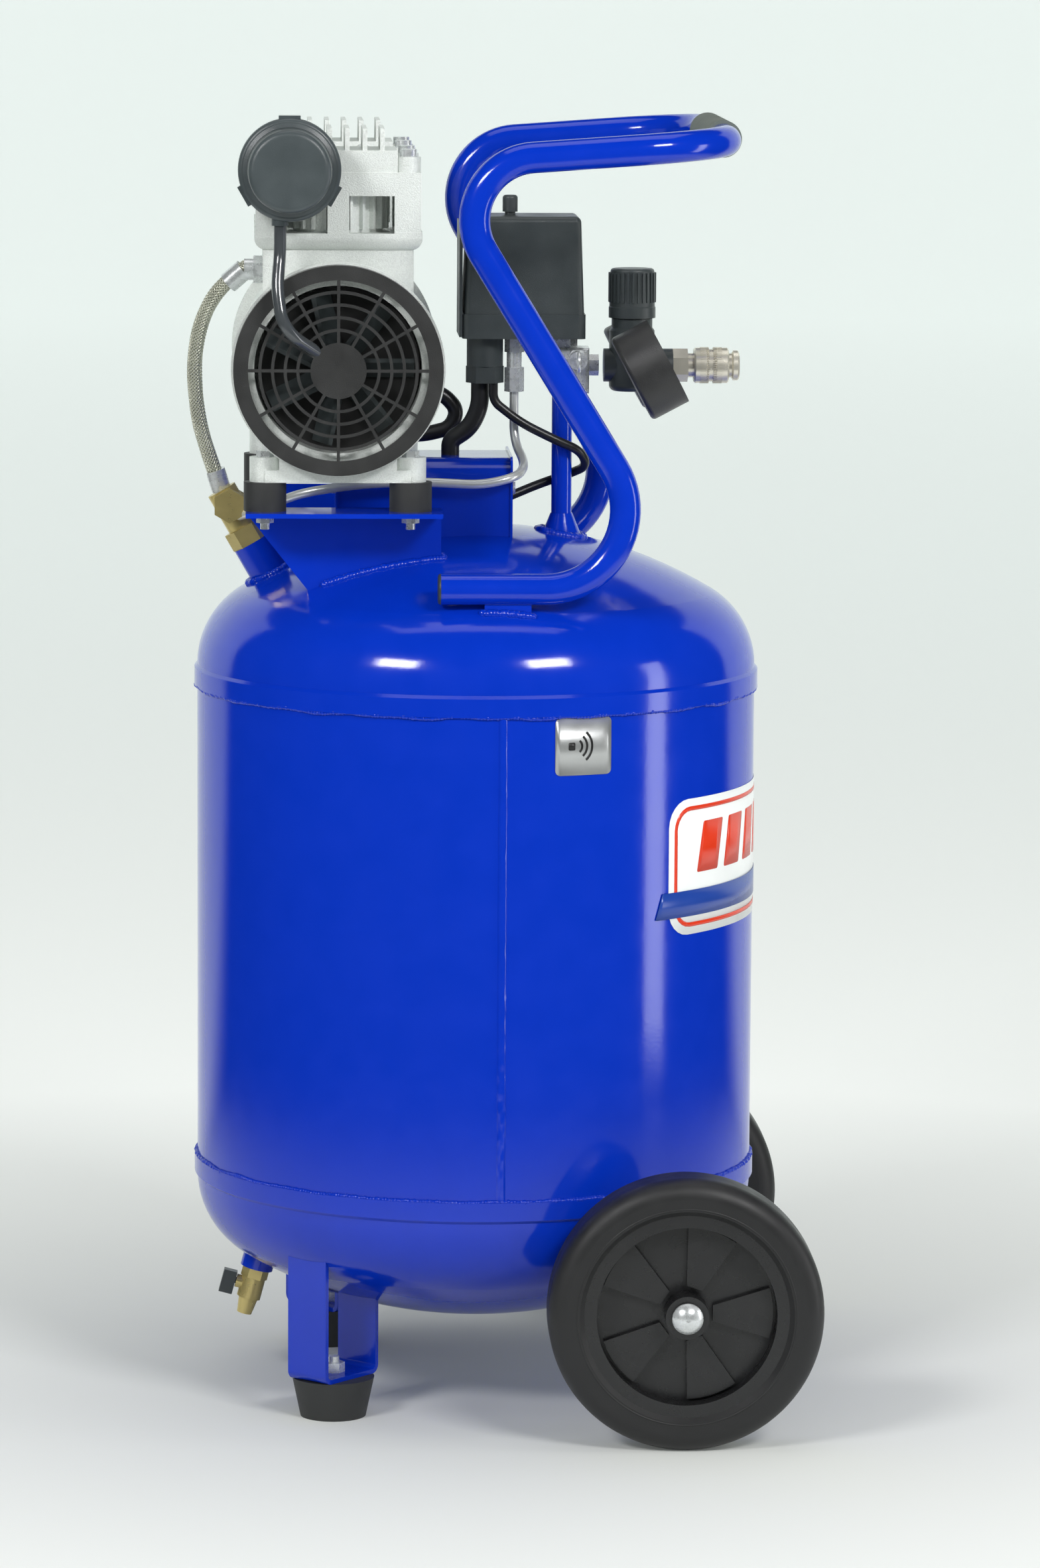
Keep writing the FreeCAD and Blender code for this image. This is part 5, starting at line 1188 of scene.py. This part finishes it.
class COMPRESSOR_OT_stage(bpy.types.Operator):
    """Makes the floor and backdrop, the soft lights and the camera"""

    bl_idname = "compressor.stage"
    bl_label = "Set Up Stage"

    def execute(self, context):
        sizes = settings(context)[2]
        self.sweep()
        self.lights()
        camera = bpy.data.cameras.new("Camera")
        camera.lens = sizes.focal_length
        camera.sensor_width = 36
        seat = bpy.data.objects.new("Camera", camera)
        context.scene.collection.objects.link(seat)
        seat.location = sizes.camera_place
        seat.rotation_euler = sizes.camera_turn
        camera.clip_end = 50
        context.scene.camera = seat
        return {"FINISHED"}

    def sweep(self):
        """A round floor that curves up into a wall on every side."""
        floor, curve, height, sides = 11.0, 3.0, 10.0, 96
        profile = [(0.5 * i, 0.0) for i in range(1, 5)] + [(4.0, 0.0), (7.0, 0.0), (floor, 0.0)]
        for step in range(1, 13):
            turn = math.radians(90 * step / 12)
            profile.append((floor + curve * math.sin(turn), curve - curve * math.cos(turn)))
        profile.append((floor + curve, height))
        bm = bmesh.new()
        middle = bm.verts.new((0, 0, 0))
        rings = []
        for radius, up in profile:
            ring = []
            for i in range(sides):
                turn = math.tau * i / sides
                ring.append(bm.verts.new((radius * math.cos(turn), radius * math.sin(turn), up)))
            rings.append(ring)
        for i in range(sides):
            j = (i + 1) % sides
            bm.faces.new((middle, rings[0][i], rings[0][j]))
            for inner, outer in zip(rings, rings[1:]):
                bm.faces.new((inner[i], outer[i], outer[j], inner[j]))
        mesh = bpy.data.meshes.new("stage_sweep")
        bm.to_mesh(mesh)
        bm.free()
        for face in mesh.polygons:
            face.use_smooth = True
        mesh.materials.append(self.paper())
        sweep = bpy.data.objects.new("stage_sweep", mesh)
        bpy.context.scene.collection.objects.link(sweep)

    def paper(self):
        """Pale paper, warmer underfoot than up the wall, with painted light: painted shade darkens it near
        the machine, a painted glow brightens it further off, and glossy rays see it painted dark, as a dark
        room, except behind and close to the machine.
        """
        material = bpy.data.materials.new("Stage Paper")
        material.use_nodes = True
        material.node_tree.nodes.clear()
        nodes = Nodes(material.node_tree)
        out = nodes.add("ShaderNodeOutputMaterial")
        pale = nodes.add("ShaderNodeBsdfDiffuse")
        # Painted dark reflection: glossy rays see this nearly black paper instead of the pale one, except
        # behind and close to the machine.
        dark = nodes.add("ShaderNodeBsdfDiffuse")
        dark.inputs["Color"].default_value = (0.01, 0.012, 0.012, 1)
        spot = nodes.add("ShaderNodeTexCoord")
        axes = nodes.add("ShaderNodeSeparateXYZ")
        away = nodes.add("ShaderNodeMapRange", interpolation_type="SMOOTHSTEP")
        away.inputs["From Min"].default_value = 0.5
        away.inputs["From Max"].default_value = 6.0
        # Painted shade: by distance alone, the paper goes from darker and warmer near the machine to paler
        # and greener further off.
        colour = nodes.add("ShaderNodeMix", data_type="RGBA")
        colour.inputs[6].default_value = (0.66, 0.665, 0.645, 1)
        colour.inputs[7].default_value = (0.80, 0.85, 0.83, 1)
        # Painted glow: the paper gives off light, none within 0.1 m of the middle and rising to 0.40 by 1.1
        # m, so it looks brighter away from the machine.
        glow = nodes.add("ShaderNodeMapRange")
        glow.inputs["From Min"].default_value = 0.1
        glow.inputs["From Max"].default_value = 1.1
        glow.inputs["To Max"].default_value = 0.40
        shine = nodes.add("ShaderNodeEmission")
        shine.inputs["Color"].default_value = (0.97, 1.0, 0.985, 1)
        lighted = nodes.add("ShaderNodeAddShader")
        aside = nodes.add("ShaderNodeMath", operation="ABSOLUTE")
        share = nodes.add("ShaderNodeMath", operation="MULTIPLY")
        share.inputs[1].default_value = 0.6
        behind = nodes.add("ShaderNodeMath", operation="SUBTRACT")
        far = nodes.add("ShaderNodeMapRange", interpolation_type="SMOOTHSTEP")
        far.inputs["From Min"].default_value = -0.1
        far.inputs["From Max"].default_value = 0.5
        reach = nodes.add("ShaderNodeVectorMath", operation="LENGTH")
        near = nodes.add("ShaderNodeMapRange", interpolation_type="SMOOTHSTEP")
        near.inputs["From Min"].default_value = 0.75
        near.inputs["From Max"].default_value = 1.35
        near.inputs["To Min"].default_value = 1.0
        near.inputs["To Max"].default_value = 0.0
        lit = nodes.add("ShaderNodeMath", operation="MAXIMUM")
        unlit = nodes.add("ShaderNodeMath", operation="SUBTRACT")
        unlit.inputs[0].default_value = 1.0
        way = nodes.add("ShaderNodeLightPath")
        amount = nodes.add("ShaderNodeMath", operation="MULTIPLY")
        mix = nodes.add("ShaderNodeMixShader")
        nodes.join(
            (spot.outputs["Object"], axes.inputs[0]),
            (reach.outputs["Value"], away.inputs["Value"]),
            (away.outputs["Result"], colour.inputs[0]),
            (reach.outputs["Value"], glow.inputs["Value"]),
            (glow.outputs["Result"], shine.inputs["Strength"]),
            (pale.outputs[0], lighted.inputs[0]),
            (shine.outputs[0], lighted.inputs[1]),
            (colour.outputs[2], pale.inputs["Color"]),
            (axes.outputs["X"], aside.inputs[0]),
            (aside.outputs[0], share.inputs[0]),
            (axes.outputs["Y"], behind.inputs[0]),
            (share.outputs[0], behind.inputs[1]),
            (behind.outputs[0], far.inputs["Value"]),
            (spot.outputs["Object"], reach.inputs[0]),
            (reach.outputs["Value"], near.inputs["Value"]),
            (far.outputs["Result"], lit.inputs[0]),
            (near.outputs["Result"], lit.inputs[1]),
            (lit.outputs[0], unlit.inputs[1]),
            (way.outputs["Is Glossy Ray"], amount.inputs[0]),
            (unlit.outputs[0], amount.inputs[1]),
            (amount.outputs[0], mix.inputs[0]),
            (lighted.outputs[0], mix.inputs[1]),
            (dark.outputs[0], mix.inputs[2]),
            (mix.outputs[0], out.inputs["Surface"]),
        )
        return material

    def lights(self):
        """Softboxes to the front, a strip to the right, and an even sky."""
        scene = bpy.context.scene
        scene.view_settings.view_transform = "Standard"
        scene.world = bpy.data.worlds.new("Studio")
        self.sky(scene.world)
        for name, place, aim, size, power in (
            ("left_box", (-1.71, -2.3, 2.15), (-0.02, -0.1, 0.5), (0.9, 0.5), 19),
            ("right_box", (1.33, -2.3, 2.15), (-0.02, -0.1, 0.5), (0.9, 0.5), 19),
            ("strip", (1.367, -0.433, 0.5), (0.1, -0.14, 0.5), (0.24, 0.95), 1.6),
            ("top", (0.0, 0.3, 3.4), (0.0, 0.0, 0.4), (2.4, 1.8), 8),
        ):
            light = bpy.data.lights.new(name, "AREA")
            light.shape = "RECTANGLE"
            light.size, light.size_y = size
            light.energy = power
            light.spread = math.radians(120)
            seat = bpy.data.objects.new(name, light)
            scene.collection.objects.link(seat)
            seat.visible_camera = False
            seat.location = place
            way = Vector(aim) - Vector(place)
            seat.rotation_euler = way.to_track_quat("-Z", "Y").to_euler()

    def sky(self, world):
        """Even light all round, in which glossy paint still finds a dark room."""
        world.use_nodes = True
        world.node_tree.nodes.clear()
        nodes = Nodes(world.node_tree)
        out = nodes.add("ShaderNodeOutputWorld")
        even = nodes.add("ShaderNodeBackground", Strength=0.20)
        even.inputs["Color"].default_value = (0.97, 1.0, 0.99, 1)
        room = nodes.add("ShaderNodeBackground", Strength=0.02)
        way = nodes.add("ShaderNodeLightPath")
        mix = nodes.add("ShaderNodeMixShader")
        nodes.join(
            (way.outputs["Is Glossy Ray"], mix.inputs[0]),
            (even.outputs[0], mix.inputs[1]),
            (room.outputs[0], mix.inputs[2]),
            (mix.outputs[0], out.inputs["Surface"]),
        )


class COMPRESSOR_PT_panel(bpy.types.Panel):
    """Lists the compressor's pieces and sizes"""

    bl_idname = "COMPRESSOR_PT_panel"
    bl_label = "Compressor"
    bl_space_type = "VIEW_3D"
    bl_region_type = "UI"
    bl_category = "Compressor"

    def draw(self, context):
        for operator in OPERATORS:
            self.layout.operator(operator.bl_idname)
        for group in settings(context):
            box = self.layout.box()
            for name in group.bl_rna.properties.keys():
                if name not in ("rna_type", "name"):
                    box.prop(group, name)


GROUP_CLASSES = (CompressorColours, WeldSizes, StageSizes)
OPERATORS = (
    COMPRESSOR_OT_finishes,
    COMPRESSOR_OT_welds,
    COMPRESSOR_OT_labels,
    COMPRESSOR_OT_braid,
    COMPRESSOR_OT_dials,
    COMPRESSOR_OT_knurls,
    COMPRESSOR_OT_wheel_rings,
    COMPRESSOR_OT_stage,
)
CLASSES = (*GROUP_CLASSES, *OPERATORS, COMPRESSOR_PT_panel)


def register():
    for cls in CLASSES:
        bpy.utils.register_class(cls)
    scene = bpy.types.Scene
    scene.compressor_colours = bpy.props.PointerProperty(type=CompressorColours)
    scene.compressor_welds = bpy.props.PointerProperty(type=WeldSizes)
    scene.compressor_stage = bpy.props.PointerProperty(type=StageSizes)


def unregister():
    scene = bpy.types.Scene
    del scene.compressor_colours
    del scene.compressor_welds
    del scene.compressor_stage
    for cls in reversed(CLASSES):
        bpy.utils.unregister_class(cls)


def main():
    register()
    for operator in OPERATORS:
        group, name = operator.bl_idname.split(".")
        getattr(getattr(bpy.ops, group), name)()


if __name__ == "__main__":
    main()
